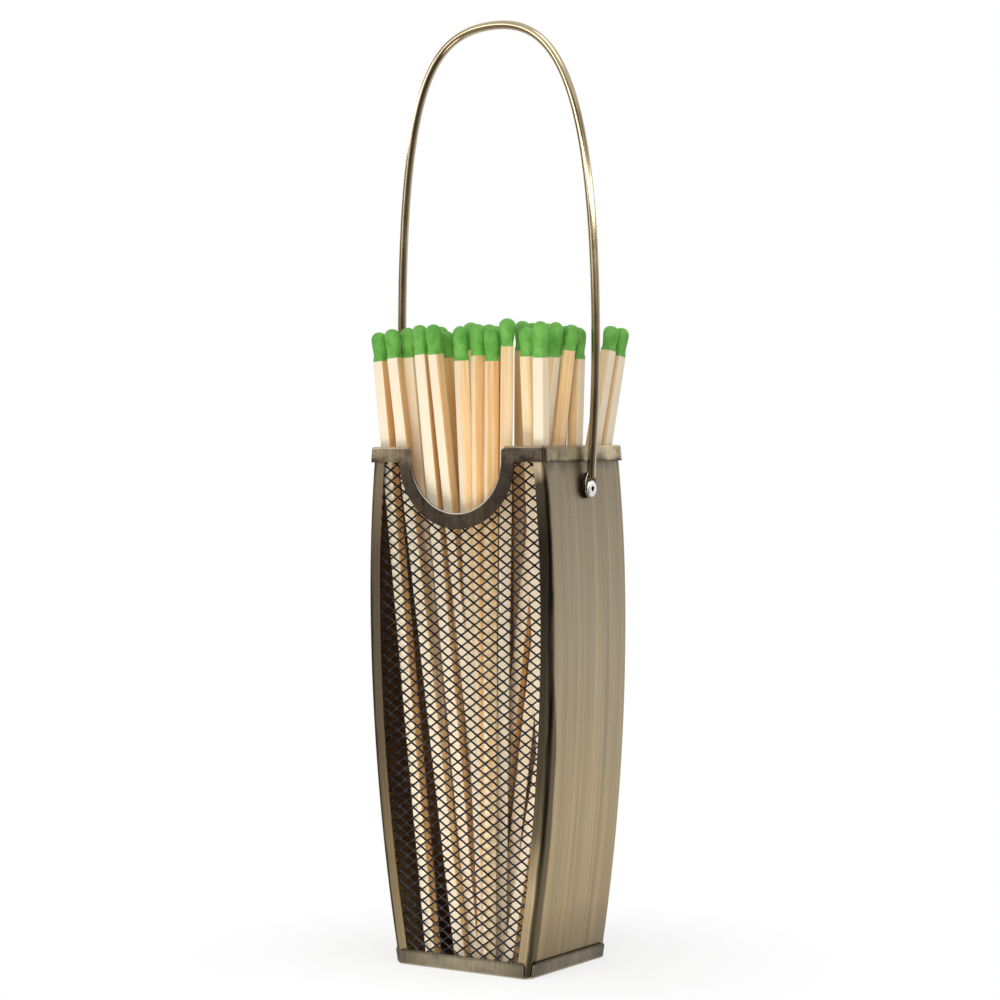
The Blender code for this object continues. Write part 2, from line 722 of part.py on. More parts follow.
for old in list(bpy.data.objects):
    bpy.data.objects.remove(old, do_unlink=True)

PARTS = new_collection("match_holder")
CUTTERS = new_collection("match_holder_cutters")

BRASS = new_material("brushed_brass", (0.45, 0.38, 0.24), 0.42, 1.0)
BRONZE = new_material("dark_bronze", (0.22, 0.19, 0.15), 0.45, 1.0)
WIRE_BRASS = new_material("wire_brass", (0.50, 0.42, 0.27), 0.35, 1.0)
RIVET_METAL = new_material("rivet_metal", (0.62, 0.60, 0.56), 0.35, 1.0)
MATCH_WOOD = new_material("match_wood", (0.82, 0.66, 0.44), 0.75, 0.0)

RIVET_HOLES = rivet_hole_cutter()
tray()
side_panel("right_side_panel", 1)
side_panel("left_side_panel", -1)
back_panel()
front_mesh()
top_rim()
bail()
rivet("rivet_right", 1)
rivet("rivet_left", -1)

for index, place in enumerate(settled_places()):
    stand_match(index + 1, place)

bpy.context.view_layer.update()
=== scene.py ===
"""Looks of the match holder: brushed antique brass, a raised diamond mesh, a wire
bail and long matches with green heads, on a pale floor in soft light."""

import json
import math

import bmesh
import bpy
from mathutils import Matrix, Vector, noise
from mathutils.geometry import interpolate_bezier


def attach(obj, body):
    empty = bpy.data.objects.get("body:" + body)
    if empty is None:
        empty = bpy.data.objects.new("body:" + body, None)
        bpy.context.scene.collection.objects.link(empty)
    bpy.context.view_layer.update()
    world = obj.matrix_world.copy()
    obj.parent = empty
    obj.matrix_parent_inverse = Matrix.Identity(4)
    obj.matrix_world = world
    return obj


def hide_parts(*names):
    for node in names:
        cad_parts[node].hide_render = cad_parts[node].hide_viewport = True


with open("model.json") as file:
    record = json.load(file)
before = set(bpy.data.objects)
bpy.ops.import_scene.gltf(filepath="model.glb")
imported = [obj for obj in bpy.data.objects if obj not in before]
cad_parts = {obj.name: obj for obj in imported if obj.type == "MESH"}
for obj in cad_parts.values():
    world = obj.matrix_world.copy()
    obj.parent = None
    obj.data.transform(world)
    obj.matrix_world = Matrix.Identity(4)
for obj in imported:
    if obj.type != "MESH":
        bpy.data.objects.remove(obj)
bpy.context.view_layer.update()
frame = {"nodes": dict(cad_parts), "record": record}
NODES = frame["nodes"]

# Body sizes, as in the frame
BODY_HEIGHT = 0.203
BODY_DEPTH = 0.0533
BELLY_HALF_WIDTH = 0.0435
BASE_DRAW_IN = 0.0127
TOP_DRAW_IN = 0.0034
BELLY_HEIGHT = 0.695 * BODY_HEIGHT
SHEET = 0.0007
SEAT_GAP = 0.0003
OUTSIDE = SHEET + SEAT_GAP
BEND_RADIUS = 0.0018
FLANGE_WIDTH = 0.0056
TAB_HEIGHT = 0.0060
TRAY_FOLD_RADIUS = 0.0010
TRAY_RELIEF = 0.0024
TAB_CORNER = 0.0015
RIM_DROP = 0.0061
RIM_LEDGE = 0.0019
RIM_FOLD_RADIUS = 0.0009
RIM_RELIEF = 0.0012
NOTCH_RADIUS = 0.0211
NOTCH_DEPTH = 0.0258
BAND_WIDTH = 0.0061
EAR_RADIUS = 0.0015
NOTCH_CENTRE = BODY_HEIGHT - NOTCH_DEPTH + NOTCH_RADIUS
NOTCH_STOP = NOTCH_RADIUS + EAR_RADIUS
PANEL_BOTTOM = SHEET + SEAT_GAP
PANEL_TOP = BODY_HEIGHT - SHEET - SEAT_GAP
STATIONS = 64
SHEET_BEVEL = 0.00016
RIM_BEVEL = 0.00020

# Raised diamond mesh at its true pitch
PITCH_ACROSS = 0.00634
PITCH_UP = 0.00426
MESH_SLOPE = PITCH_UP / PITCH_ACROSS
MESH_LEAN = 0.022
STRAND_FACE = 0.00070
KNOT_FACE = 0.00092
KNOT_LENGTH = 0.00125
STRAND_THICK = 0.00045
KNOT_THICK = 1.12 * STRAND_THICK
STRAND_CHAMFER_SHARE = 0.22
STRAND_TILT = math.radians(38)
MESH_PLANE = -(BODY_DEPTH / 2 - OUTSIDE - 0.00025)
MESH_END = 0.0006
MESH_SIDE_GAP = 0.0004
BAND_COVER = 0.45
KNOT_MARGIN = 0.0006
SHORTEST_STRAND = 0.001
SCAN_STEP = 0.0002

# Bail and rivets
WIRE_RADIUS = 0.001725
WIRE_SIDES = 20
WIRE_SEAT_GAP = 0.00005
BAIL_RISE = 0.1837
BAIL_SIDE_GAP = 0.0027
BAIL_LEAN = math.radians(0.8)
BAIL_LEG_SHARE = 0.30
BAIL_SHOULDER_SHARE = 0.871
BAIL_CROWN_RIGHT = 0.584
BAIL_CROWN_LEFT = 0.712
BAIL_APEX_SHIFT = -0.0010
EYE_RADIUS = 0.0037
EYE_THICKNESS = 0.0018
EYE_NECK = 0.0062
EYE_BEVEL = 0.00028
RIVET_HEIGHT = BODY_HEIGHT - 0.0167
SHANK_RADIUS = 0.0016
HOLE_RADIUS = SHANK_RADIUS + 0.00025
HEAD_RADIUS = 0.00325
HEAD_THICKNESS = 0.0007
HEAD_GAP = 0.00015
MANDREL_RADIUS = 0.0010
BULB_RADIUS = 0.0024
BULB_LENGTH = 0.0024
RIVET_SIDES = 40
BAIL_HALF_WIDTH = BELLY_HALF_WIDTH + BAIL_SIDE_GAP
PIN_REACH = BAIL_HALF_WIDTH + 4 * WIRE_RADIUS

# Matches
STICK_SIDE = 0.0045
HEAD_LENGTH = 0.0105
HEAD_WIDTH = 0.0065
HEAD_INSET = 0.0001
STICK_CHAMFER = 0.00022
CORNER_STEPS = 2
SIDE_SPLITS = 4
SWAY = 0.00004
# How far below the head the plain stick ends
WOOD_STOP = 0.0018
# Below this height, over this far, the body shades the sticks
SHELTER_TOP = 0.185
SHELTER_FADE = 0.045
# Paleness of the back, left, front and right faces down there: painted light and shade, the
# front face painted pale and the others golden
SHELTERED_PAINTED_LIGHT = (0.46, 0.50, 0.90, 0.42)
# Paleness of each stick's front face and right face, from 0 golden to 1 cream: painted light
# and shade, cream where a face is lit and golden where it lies in shade
FACE_PAINTED_LIGHT = (
    (0.85, 0.30), (0.95, 0.30), (0.70, 0.75), (0.85, 0.30), (0.85, 0.35), (0.35, 0.30),
    (0.78, 0.42), (0.65, 0.26), (0.60, 0.28), (0.50, 0.30), (0.70, 0.24), (0.45, 0.34),
    (0.40, 0.30), (0.45, 0.35), (0.50, 0.55), (0.45, 0.50), (0.90, 0.70), (0.50, 0.55),
    (0.45, 0.85), (0.35, 0.80), (0.40, 0.75), (0.55, 0.95), (0.60, 0.95), (0.55, 0.45),
    (0.50, 0.60), (0.60, 0.45), (0.45, 0.55), (0.55, 0.50),
)
# How long each head is against the usual one
HEAD_STRETCH = (
    1.00, 1.00, 1.02, 1.00, 1.00, 0.90, 1.15, 0.95, 1.05, 1.00, 1.12, 1.00, 0.92, 1.00,
    0.95, 1.00, 1.18, 1.00, 1.15, 0.85, 1.05, 0.84, 0.98, 1.00, 1.00, 1.00, 1.00, 1.00,
)
# Share of the head's length, share of its widest radius, roundness of the section
HEAD_PROFILE = (
    (-0.105, 1.0, 0.0), (-0.02, 1.0, 0.10), (0.05, 0.80, 0.60), (0.16, 0.84, 0.85),
    (0.30, 0.90, 0.96), (0.44, 0.955, 1.0), (0.58, 0.99, 1.0), (0.70, 1.0, 1.0),
    (0.80, 0.95, 1.0), (0.88, 0.82, 1.0), (0.94, 0.62, 1.0), (0.98, 0.38, 1.0),
    (0.996, 0.16, 1.0),
)


def half_width(height):
    """Outer half width of the body at a height above the underside."""
    if height < BELLY_HEIGHT:
        share = (BELLY_HEIGHT - height) / BELLY_HEIGHT
        return BELLY_HALF_WIDTH - BASE_DRAW_IN * share ** 2
    share = (height - BELLY_HEIGHT) / (BODY_HEIGHT - BELLY_HEIGHT)
    return BELLY_HALF_WIDTH - TOP_DRAW_IN * share ** 2


EYE_SEAT = half_width(RIVET_HEIGHT - EYE_RADIUS) + SEAT_GAP


# Node helpers

class Graph:
    """Short names for the nodes of a material or a world."""

    def __init__(self, owner, output="OutputMaterial"):
        owner.use_nodes = True
        self.owner = owner
        self.tree = owner.node_tree
        self.tree.nodes.clear()
        self.out = self.add(output)

    def add(self, kind, **values):
        node = self.tree.nodes.new("ShaderNode" + kind)
        for key, value in values.items():
            setattr(node, key, value)
        return node

    def feed(self, value, socket):
        """A node's result is linked; a number or a colour is set on the socket itself."""
        if hasattr(value, "is_linked"):
            self.tree.links.new(value, socket)
        elif socket.type == "RGBA":
            socket.default_value = (*value, 1.0)
        else:
            socket.default_value = value

    def fill(self, node, **sockets):
        """Node with its sockets fed by name, an underscore for a space."""
        for key, value in sockets.items():
            self.feed(value, node.inputs[key.replace("_", " ")])
        return node

    def coords(self):
        return self.add("TexCoord").outputs["Object"]

    def lay(self, layer="lay"):
        """Coordinates along a sheet, wire or stick: across its grain, then along it."""
        return self.add("UVMap", uv_map=layer).outputs[0]

    def noise(self, vector, scale, offset=(0, 0, 0), detail=3.0, roughness=0.5, distortion=0.0):
        """Noise stretched along the axes by its three scales."""
        laid = self.fill(self.add("Mapping"), Vector=vector, Scale=scale, Location=offset)
        node = self.fill(self.add("TexNoise"), Vector=laid.outputs[0], Scale=1.0,
                         Detail=detail, Roughness=roughness, Distortion=distortion)
        return node.outputs["Fac"]

    def ramp(self, value, stops):
        node = self.add("ValToRGB")
        self.feed(value, node.inputs[0])
        elements = node.color_ramp.elements
        while len(elements) < len(stops):
            elements.new(0.5)
        for element, (place, colour) in zip(elements, stops):
            element.position = place
            if isinstance(colour, float):
                colour = (colour, colour, colour)
            element.color = (*colour, 1.0)
        return node.outputs[0]

    def mix(self, share, first, second, blend="MIX"):
        node = self.add("Mix", data_type="RGBA", blend_type=blend)
        for value, number in ((share, 0), (first, 6), (second, 7)):
            self.feed(value, node.inputs[number])
        return node.outputs[2]

    def tint(self, colour, factor):
        """Colour multiplied by another, or by a value that changes over the surface."""
        return self.mix(1.0, colour, factor, "MULTIPLY")

    def math(self, operation, *values):
        node = self.add("Math", operation=operation)
        for value, socket in zip(values, node.inputs):
            self.feed(value, socket)
        return node.outputs[0]

    def plus(self, first, second):
        return self.math("ADD", first, second)

    def minus(self, first, second):
        return self.math("SUBTRACT", first, second)

    def times(self, *values):
        result = values[0]
        for value in values[1:]:
            result = self.math("MULTIPLY", result, value)
        return result

    def total(self, *parts):
        """Sum of values, each with its weight."""
        result = self.times(*parts[0])
        for part in parts[1:]:
            result = self.plus(result, self.times(*part))
        return result

    def split(self, vector):
        node = self.add("SeparateXYZ")
        self.feed(vector, node.inputs[0])
        return node.outputs

    def span(self, value, low, high, new_low=0.0, new_high=1.0):
        """Value mapped smoothly from one range into another."""
        node = self.add("MapRange", interpolation_type="SMOOTHSTEP")
        return self.fill(node, Value=value, From_Min=low, From_Max=high, To_Min=new_low,
                         To_Max=new_high).outputs[0]

    def bump(self, height, strength, distance):
        node = self.add("Bump")
        return self.fill(node, Strength=strength, Distance=distance, Height=height).outputs[0]

    def finish(self, colour, roughness, normal, metallic=1.0, **others):
        """Principled shader made from these, as the finished material."""
        shader = self.fill(self.add("BsdfPrincipled"), Base_Color=colour, Roughness=roughness,
                           Normal=normal, Metallic=metallic, **others)
        self.fill(self.out, Surface=shader.outputs[0])
        return self.owner

    def blend(self, share, first, second):
        """Two shaders mixed into the output."""
        mixer = self.add("MixShader")
        for value, socket in zip((share, first.outputs[0], second.outputs[0]), mixer.inputs):
            self.feed(value, socket)
        self.fill(self.out, Surface=mixer.outputs[0])
        return self.owner

    def seen(self, *rays):
        """1 for any of these kinds of ray, else 0."""
        path = self.add("LightPath").outputs
        result = path[rays[0]]
        for ray in rays[1:]:
            result = self.math("MAXIMUM", result, path[ray])
        return result


# Materials

def brushed_panel(name, flange):
    """Side panel: brushed antique brass in two tones, with hairlines and fine speckle.

    flange lists how light the front flange is, as shares of the height and half
    shades: painted reflection and painted shade, with a painted highlight at the top
    of the right flange. The front bend is painted dark as shade, the sheet has a
    painted shadow under the rim, and it darkens along the far fold and in clouds
    above the tray.
    """
    g = Graph(bpy.data.materials.new(name))
    base = g.lay()
    wide = g.noise(base, (150, 2.2, 1), detail=2.0, roughness=0.55, distortion=0.3)
    middle = g.noise(base, (700, 4.0, 1), (3.1, 1.7, 0), detail=2.0)
    hair = g.noise(base, (4200, 22, 1), (7.7, 5.2, 0), detail=1.0)
    speck = g.noise(base, (2600, 1300, 1), (1.3, 0.4, 0), detail=1.0)
    cloud = g.noise(base, (190, 26, 1), (0.4, 8.1, 0))
    tone = g.span(g.total((wide, 0.55), (middle, 0.45)), 0.30, 0.70)
    colour = g.mix(tone, (0.300, 0.253, 0.186), (0.430, 0.352, 0.222))
    across, up, _ = g.split(base)
    drift = g.minus(cloud, 0.5)
    across = g.plus(across, g.times(drift, 0.003))
    share = g.math("DIVIDE", g.plus(up, g.times(drift, 0.012)), BODY_HEIGHT)
    # Warmer towards the foot
    colour = g.mix(g.span(up, 0.030, 0.150, 1.0, 0.0), colour,
                   g.tint(colour, (1.07, 1.00, 0.84)))
    # From the flange round its bend to the sheet; low down the bend's shade is wider
    spread = g.span(up, 0.080, 0.125, 0.0036, 0.0)
    past = g.span(g.minus(across, spread), 0.0050, 0.0065)
    turned = g.span(across, 0.0040, 0.0062)
    past = g.times(g.total((past, 0.7), (turned, 0.3)), turned)
    # Painted reflection and shade on the front flange, and a painted shade on its bend
    front = g.times(g.ramp(share, flange), 2.0, g.span(across, 0.0032, 0.0046, 1.0, 0.16),
                    g.minus(1.0, past))
    # Sheet tone, with a painted shadow just under the rim
    sheet = g.times(g.ramp(share, PANEL_SHADES), 1.06,
                    g.span(across, 0.0480, 0.0560, 1.0, 0.84), past)
    fine = g.span(g.total((hair, 0.6), (speck, 0.4)), 0.25, 0.75, 0.82, 1.16)
    colour = g.tint(colour, g.times(fine, g.plus(front, sheet)))
    rough = g.span(g.plus(g.times(tone, -0.5), hair), -0.2, 0.8, 0.29, 0.45)
    return g.finish(colour, rough, g.bump(g.total((hair, 0.8), (speck, 0.35)), 0.22, 0.00012))


def rim_patina_and_painted_light(name):
    """Folded rim: mottled khaki brass, darker low down, with painted shade round the notch and
    painted highlights along its top and the notch's edge.
    """
    g = Graph(bpy.data.materials.new(name))
    base = g.coords()
    across, deep, up = g.split(base)
    cloud = g.noise(base, (150, 150, 150), detail=4.0, roughness=0.62)
    grain = g.noise(base, (1500, 1500, 1500), (2.0, 0.3, 0.9), detail=2.0)
    line = g.noise(base, (1300, 1300, 60), (0.2, 1.5, 4.0), detail=2.0)
    tone = g.total((cloud, 0.55), (grain, 0.28), (line, 0.17))
    colour = g.mix(g.span(tone, 0.34, 0.66), (0.232, 0.188, 0.132), (0.570, 0.478, 0.300))
    drift = g.minus(cloud, 0.5)
    skirt = BODY_HEIGHT - RIM_DROP
    # The front is painted darker round the notch and towards its right, a painted shade for
    # dark reflections, and every side darkens towards its lower edge
    front = g.span(deep, -0.0272, -0.0255, 1.0, 0.0)
    shifted = g.plus(across, g.times(drift, 0.022))
    notch = g.times(g.span(shifted, -0.038, -0.018, 0.85, 0.43),
                    g.span(shifted, 0.010, 0.026, 1.0, 0.68))
    painted_notch_shade = g.times(front, g.minus(1.0, notch))
    low = g.span(g.plus(up, g.times(drift, 0.010)), skirt - 0.0008, skirt + 0.0032, 0.50, 1.0)
    colour = g.tint(colour, g.times(g.minus(1.0, painted_notch_shade), low))
    # The painted shade is also tinted bluer
    colour = g.mix(painted_notch_shade, colour, g.tint(colour, (1.02, 0.99, 1.32)))
    # Painted highlights along the top and round the notch's edge, strongest low down
    top = g.span(up, BODY_HEIGHT - 0.0009, BODY_HEIGHT - 0.0002)
    colour = g.mix(g.times(top, 0.55), colour, (0.66, 0.55, 0.33))
    rise = g.minus(up, NOTCH_CENTRE)
    reach = g.math("SQRT", g.plus(g.times(across, across), g.times(rise, rise)))
    painted_notch_gleam = g.times(g.span(reach, NOTCH_RADIUS + 0.0003, NOTCH_RADIUS + 0.0006, 1.0, 0.0),
                     g.span(reach, NOTCH_RADIUS + 0.00002, NOTCH_RADIUS + 0.00008),
                     g.span(rise, -0.018, -0.002, 1.0, 0.12))
    colour = g.mix(painted_notch_gleam, colour, (0.80, 0.78, 0.76))
    # The sides lighten towards the back above a dark hem
    far = g.times(g.minus(1.0, front),
                  g.span(g.plus(deep, g.times(drift, 0.020)), -0.012, 0.012, 0.64, 1.06))
    hem = g.span(g.plus(up, g.times(drift, 0.0016)), skirt + 0.0002, skirt + 0.0014, 0.46, 1.0)
    colour = g.tint(colour, g.plus(g.times(far, hem), front))
    return g.finish(colour, g.span(grain, 0.3, 0.7, 0.28, 0.44),
                    g.bump(g.total((grain, 0.6), (cloud, 0.4)), 0.30, 0.00016))


def tray_patina(name):
    """Folded tray: brushed brass with dark clouds towards its corners and edges."""
    g = Graph(bpy.data.materials.new(name))
    base = g.coords()
    across, deep, up = g.split(base)
    cloud = g.noise(base, (130, 130, 190), (3.0, 0.5, 0.0), detail=4.0, roughness=0.6)
    grain = g.noise(base, (1500, 1500, 1500), (2.0, 0.3, 0.9), detail=2.0)
    line = g.noise(base, (1400, 1400, 90), (0.2, 1.5, 4.0), detail=2.0)
    tone = g.total((cloud, 0.50), (grain, 0.22), (line, 0.28))
    colour = g.mix(g.span(tone, 0.36, 0.64), (0.265, 0.225, 0.165), (0.480, 0.405, 0.265))
    drift = g.times(g.minus(cloud, 0.5), 0.018)
    across = g.math("ABSOLUTE", across)
    deep = g.math("ABSOLUTE", deep)
    wide = g.span(g.plus(across, drift), 0.0120, 0.0310, 0.68, 0.34)
    long = g.span(g.plus(deep, drift), 0.0060, 0.0270, 0.56, 0.30)
    end = g.span(deep, 0.0262, 0.0268)
    shade = g.plus(g.times(wide, end), g.times(long, g.minus(1.0, end)))
    edge = g.span(up, TAB_HEIGHT - 0.0013, TAB_HEIGHT - 0.0003, 1.0, 0.55)
    colour = g.tint(colour, g.times(shade, edge))
    colour = g.mix(g.span(up, 0.0004, 0.0010, 0.60, 0.0), colour, (0.50, 0.42, 0.26))
    return g.finish(colour, g.span(grain, 0.3, 0.7, 0.30, 0.46), g.bump(grain, 0.28, 0.00014))


def inner_brass(name):
    """Back sheet: brushed outside; inside, a painted warm brown that stands for the light
    bounced between the sticks.
    """
    g = Graph(bpy.data.materials.new(name))
    base = g.coords()
    _, deep, _ = g.split(base)
    wide = g.noise(base, (260, 260, 2.2), detail=2.0, distortion=0.3)
    hair = g.noise(base, (3600, 3600, 20), (7.7, 5.2, 1.1), detail=1.0)
    middle = g.noise(base, (900, 900, 5.0), (3.1, 1.7, 0.6), detail=2.0)
    tone = g.span(g.total((wide, 0.30), (middle, 0.35), (hair, 0.35)), 0.30, 0.70)
    outer = g.mix(tone, (0.295, 0.248, 0.180), (0.410, 0.335, 0.210))
    # Inside: painted warm bounce light, brown and less metallic
    inner = g.mix(tone, (0.40, 0.20, 0.065), (0.62, 0.36, 0.14))
    outside = BODY_DEPTH / 2 - OUTSIDE
    inside = g.span(deep, outside - 0.7 * SHEET, outside - 0.3 * SHEET, 1.0, 0.0)
    return g.finish(g.mix(inside, outer, inner), g.span(hair, 0.3, 0.7, 0.32, 0.46),
                    g.bump(hair, 0.22, 0.00012), g.minus(1.0, g.times(inside, 0.85)))


def eye_painted_shade_and_highlight(name):
    """Flattened eye: painted dark as shade, with a painted highlight along the edge of its
    outer face.
    """
    g = Graph(bpy.data.materials.new(name))
    base = g.coords()
    across, _, _ = g.split(base)
    grain = g.noise(base, (1500, 1500, 1500))
    face = EYE_SEAT + EYE_THICKNESS
    # Painted highlight: a bright line on the chamfer round the outer face
    out = g.math("ABSOLUTE", across)
    line = g.times(g.span(out, face - 0.00034, face - 0.00024),
                   g.span(out, face - 0.00005, face - 0.00001, 1.0, 0.0))
    colour = g.mix(line, (0.060, 0.048, 0.034), (0.66, 0.54, 0.32))
    colour = g.tint(colour, g.span(grain, 0.3, 0.7, 0.75, 1.2))
    return g.finish(colour, g.span(grain, 0.3, 0.7, 0.24, 0.36), g.bump(grain, 0.20, 0.00010))


def drawn_wire(name):
    """Drawn brass wire: smooth and bright, with faint draw lines along it."""
    g = Graph(bpy.data.materials.new(name))
    base = g.lay()
    line = g.noise(base, (1500, 7, 1), detail=2.0)
    cloud = g.noise(base, (110, 55, 1), (3.0, 1.0, 0))
    tone = g.total((line, 0.5), (cloud, 0.5))
    colour = g.mix(g.span(tone, 0.34, 0.66), (0.360, 0.300, 0.200), (0.500, 0.420, 0.285))
    return g.finish(colour, g.span(cloud, 0.3, 0.7, 0.09, 0.15), g.bump(line, 0.05, 0.00003))


def mottled_metal(name, light, dark, roughness):
    """Small metal parts: mottled between a dark and a light colour with fine grain; on the mesh
    crossings the light bluish colours are a painted glint, in the rivets' recesses the dark
    ones a painted shade.
    """
    g = Graph(bpy.data.materials.new(name))
    base = g.coords()
    cloud = g.noise(base, (170, 170, 120), detail=4.0, roughness=0.6)
    grain = g.noise(base, (1900, 1900, 1500), (2.0, 0.3, 0.9), detail=2.0)
    streak = g.noise(base, (1400, 1400, 60), (0.2, 1.5, 4.0), detail=1.0)
    tone = g.span(g.total((cloud, 0.55), (grain, 0.28), (streak, 0.17)), 0.36, 0.64)
    rough = g.span(grain, 0.3, 0.7, roughness - 0.06, roughness + 0.10)
    return g.finish(g.mix(tone, dark, light), rough, g.bump(grain, 0.25, 0.00012))


def bare_wood(name):
    """Sawn softwood: fine lengthwise grain; each face's tone is painted light and shade on the
    front and right faces, random on the others.
    """
    g = Graph(bpy.data.materials.new(name))
    painted_face_light = g.add("Attribute", attribute_name="tone").outputs["Fac"]
    base = g.lay("grain")
    wide = g.noise(base, (420, 5, 1), detail=2.0, distortion=0.4)
    fibre = g.noise(base, (2600, 26, 1), (4.0, 2.0, 0), roughness=0.6)
    cloud = g.noise(base, (160, 42, 1), (2.0, 5.0, 0))
    pore = g.noise(base, (3800, 190, 1), (1.0, 9.0, 0), detail=2.0)
    tone = g.total((wide, 0.40), (fibre, 0.48), (cloud, 0.12), (g.minus(painted_face_light, 0.5), 0.62))
    colour = g.ramp(g.span(tone, 0.14, 0.80), WOOD_COLOURS)
    colour = g.tint(colour, g.span(pore, 0.66, 0.80, 1.0, 0.88))
    normal = g.bump(g.total((fibre, 0.7), (pore, 0.3)), 0.35, 0.00016)
    return g.finish(colour, 0.72, normal, 0.0, Specular_IOR_Level=0.35)


def dried_head(name):
    """Matte green match composition with a fine crusty grain."""
    g = Graph(bpy.data.materials.new(name))
    base = g.coords()
    cloud = g.noise(base, (260, 260, 220))
    grain = g.noise(base, (2300, 2300, 2300), roughness=0.65)
    tone = g.span(g.total((cloud, 0.6), (grain, 0.4)), 0.30, 0.70)
    colour = g.mix(tone, (0.074, 0.325, 0.027), (0.200, 0.54, 0.084))
    return g.finish(colour, 0.62, g.bump(grain, 0.4, 0.00022), 0.0, Specular_IOR_Level=0.4)


# How light the sheet is from foot to rim, as shares of the height and shades; the last stops
# are a painted shadow under the rim, and the sheet darkens towards the foot
PANEL_SHADES = ((0.03, 0.55), (0.13, 0.88), (0.30, 0.99), (0.62, 0.93), (0.84, 0.77),
                (0.950, 0.66), (0.968, 0.40))
# Front flanges, as shares of the height and half shades: painted reflection and shade, with a
# painted highlight at the top of the right one
RIGHT_FLANGE_PAINTED_REFLECTION = ((0.0, 0.385), (0.16, 0.385), (0.27, 0.098), (0.38, 0.048), (0.48, 0.042),
                (0.82, 0.046), (0.930, 0.12), (0.962, 0.98))
LEFT_FLANGE_PAINTED_REFLECTION = ((0.0, 0.40), (0.22, 0.45), (0.42, 0.29), (0.78, 0.25), (0.93, 0.42))
# From latewood to pale sapwood; the faces' painted light and shade move along it too, golden in
# shade and cream in light
WOOD_COLOURS = ((0.0, (0.62, 0.30, 0.085)), (0.24, (0.80, 0.47, 0.185)),
                (0.46, (0.89, 0.63, 0.32)), (0.68, (0.92, 0.74, 0.48)),
                (1.0, (0.93, 0.80, 0.60)))

PANEL_RIGHT = brushed_panel("brushed_brass_right", RIGHT_FLANGE_PAINTED_REFLECTION)
PANEL_LEFT = brushed_panel("brushed_brass_left", LEFT_FLANGE_PAINTED_REFLECTION)
TRAY = tray_patina("tray_brass")
BACK = inner_brass("back_brass")
RIM = rim_patina_and_painted_light("rim_bronze")
EYE = eye_painted_shade_and_highlight("bail_eye")
STRAND = mottled_metal("strand_bronze", (0.040, 0.036, 0.036), (0.010, 0.009, 0.010), 0.34)
# Crossings: a painted glint, lighter and bluer than the strands
KNOT_PAINTED_GLINT = mottled_metal("crossing_painted_glint", (0.095, 0.12, 0.155), (0.04, 0.052, 0.070), 0.30)
WIRE = drawn_wire("wire_brass")
RIVET = mottled_metal("rivet_metal", (0.85, 0.84, 0.82), (0.62, 0.61, 0.59), 0.30)
# Mandrel steel, painted dark as the shade in the rivet head's recess
MANDREL_AND_RECESS_SHADE = mottled_metal("mandrel_steel_and_recess_shade", (0.110, 0.120, 0.125), (0.030, 0.034, 0.036), 0.34)
WOOD = bare_wood("match_wood")
GREEN = dried_head("match_green")


# Mesh helpers

def new_object(name, data):
    obj = bpy.data.objects.new(name, data)
    bpy.context.scene.collection.objects.link(obj)
    return obj


def new_mesh(name, bm):
    mesh = bpy.data.meshes.new(name)
    bm.to_mesh(mesh)
    bm.free()
    return mesh


def closed_mesh(name, bm):
    """Mesh of closed forms, their normals turned outward."""
    bmesh.ops.recalc_face_normals(bm, faces=bm.faces)
    return new_mesh(name, bm)


def add_piece(name, mesh, body, slot, replaced, *materials, smooth=35):
    for material in materials:
        mesh.materials.append(material)
    mesh.shade_smooth()
    mesh.set_sharp_from_angle(angle=math.radians(smooth))
    obj = new_object(name, mesh)
    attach(obj, body)
    if replaced:
        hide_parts(*replaced)
    return obj


def surface_mesh(name, faces, outward, lay=None):
    """Open surface from outlines that share corners, its normals turned outward."""
    bm = bmesh.new()
    sheet = bm.loops.layers.uv.new("lay")
    for number, outline in enumerate(faces):
        face = bm.faces.new([bm.verts.new(point) for point in outline])
        if lay:
            for loop, place in zip(face.loops, lay[number]):
                loop[sheet].uv = place
    bmesh.ops.remove_doubles(bm, verts=bm.verts, dist=1e-6)
    bmesh.ops.recalc_face_normals(bm, faces=bm.faces)
    bm.normal_update()
    widest = max(bm.faces, key=lambda face: face.calc_area())
    if widest.normal.dot(Vector(outward)) < 0:
        bmesh.ops.reverse_faces(bm, faces=bm.faces)
    return new_mesh(name, bm)


def tube_faces(bm, low, high):
    """Faces between two rings of corners; a ring of one corner closes the form."""
    faces = []
    sides = max(len(low), len(high))
    for k in range(sides):
        after = (k + 1) % sides
        if len(low) == 1:
            corners = (low[0], high[k], high[after])
        elif len(high) == 1:
            corners = (low[k], high[0], low[after])
        else:
            corners = (low[k], low[after], high[after], high[k])
        faces.append(bm.faces.new(corners))
    return faces


def add_mirror(obj):
    mirror = obj.modifiers.new("Mirror", "MIRROR")
    mirror.use_axis = (True, False, False)
    mirror.merge_threshold = 1e-5


def add_thickness(obj, thickness):
    solidify = obj.modifiers.new("Sheet", "SOLIDIFY")
    solidify.thickness = thickness
    solidify.offset = -1.0
    solidify.use_even_offset = True


def add_bevel(obj, width, segments=2):
    bevel = obj.modifiers.new("Edges", "BEVEL")
    bevel.width = width
    bevel.segments = segments
    bevel.limit_method = "ANGLE"
    bevel.angle_limit = math.radians(50)
    bevel.harden_normals = True
    bevel.use_clamp_overlap = True


def add_cut(obj, cutter):
    cut = obj.modifiers.new("Cut", "BOOLEAN")
    cut.operation = "DIFFERENCE"
    cut.object = cutter
    cut.solver = "EXACT"


def apply_all(obj):
    """Modifiers made into the mesh itself, so that the cutters can go."""
    bpy.context.view_layer.update()
    graph = bpy.context.evaluated_depsgraph_get()
    mesh = bpy.data.meshes.new_from_object(obj.evaluated_get(graph),
                                           preserve_all_data_layers=True, depsgraph=graph)
    obj.modifiers.clear()
    obj.data = mesh


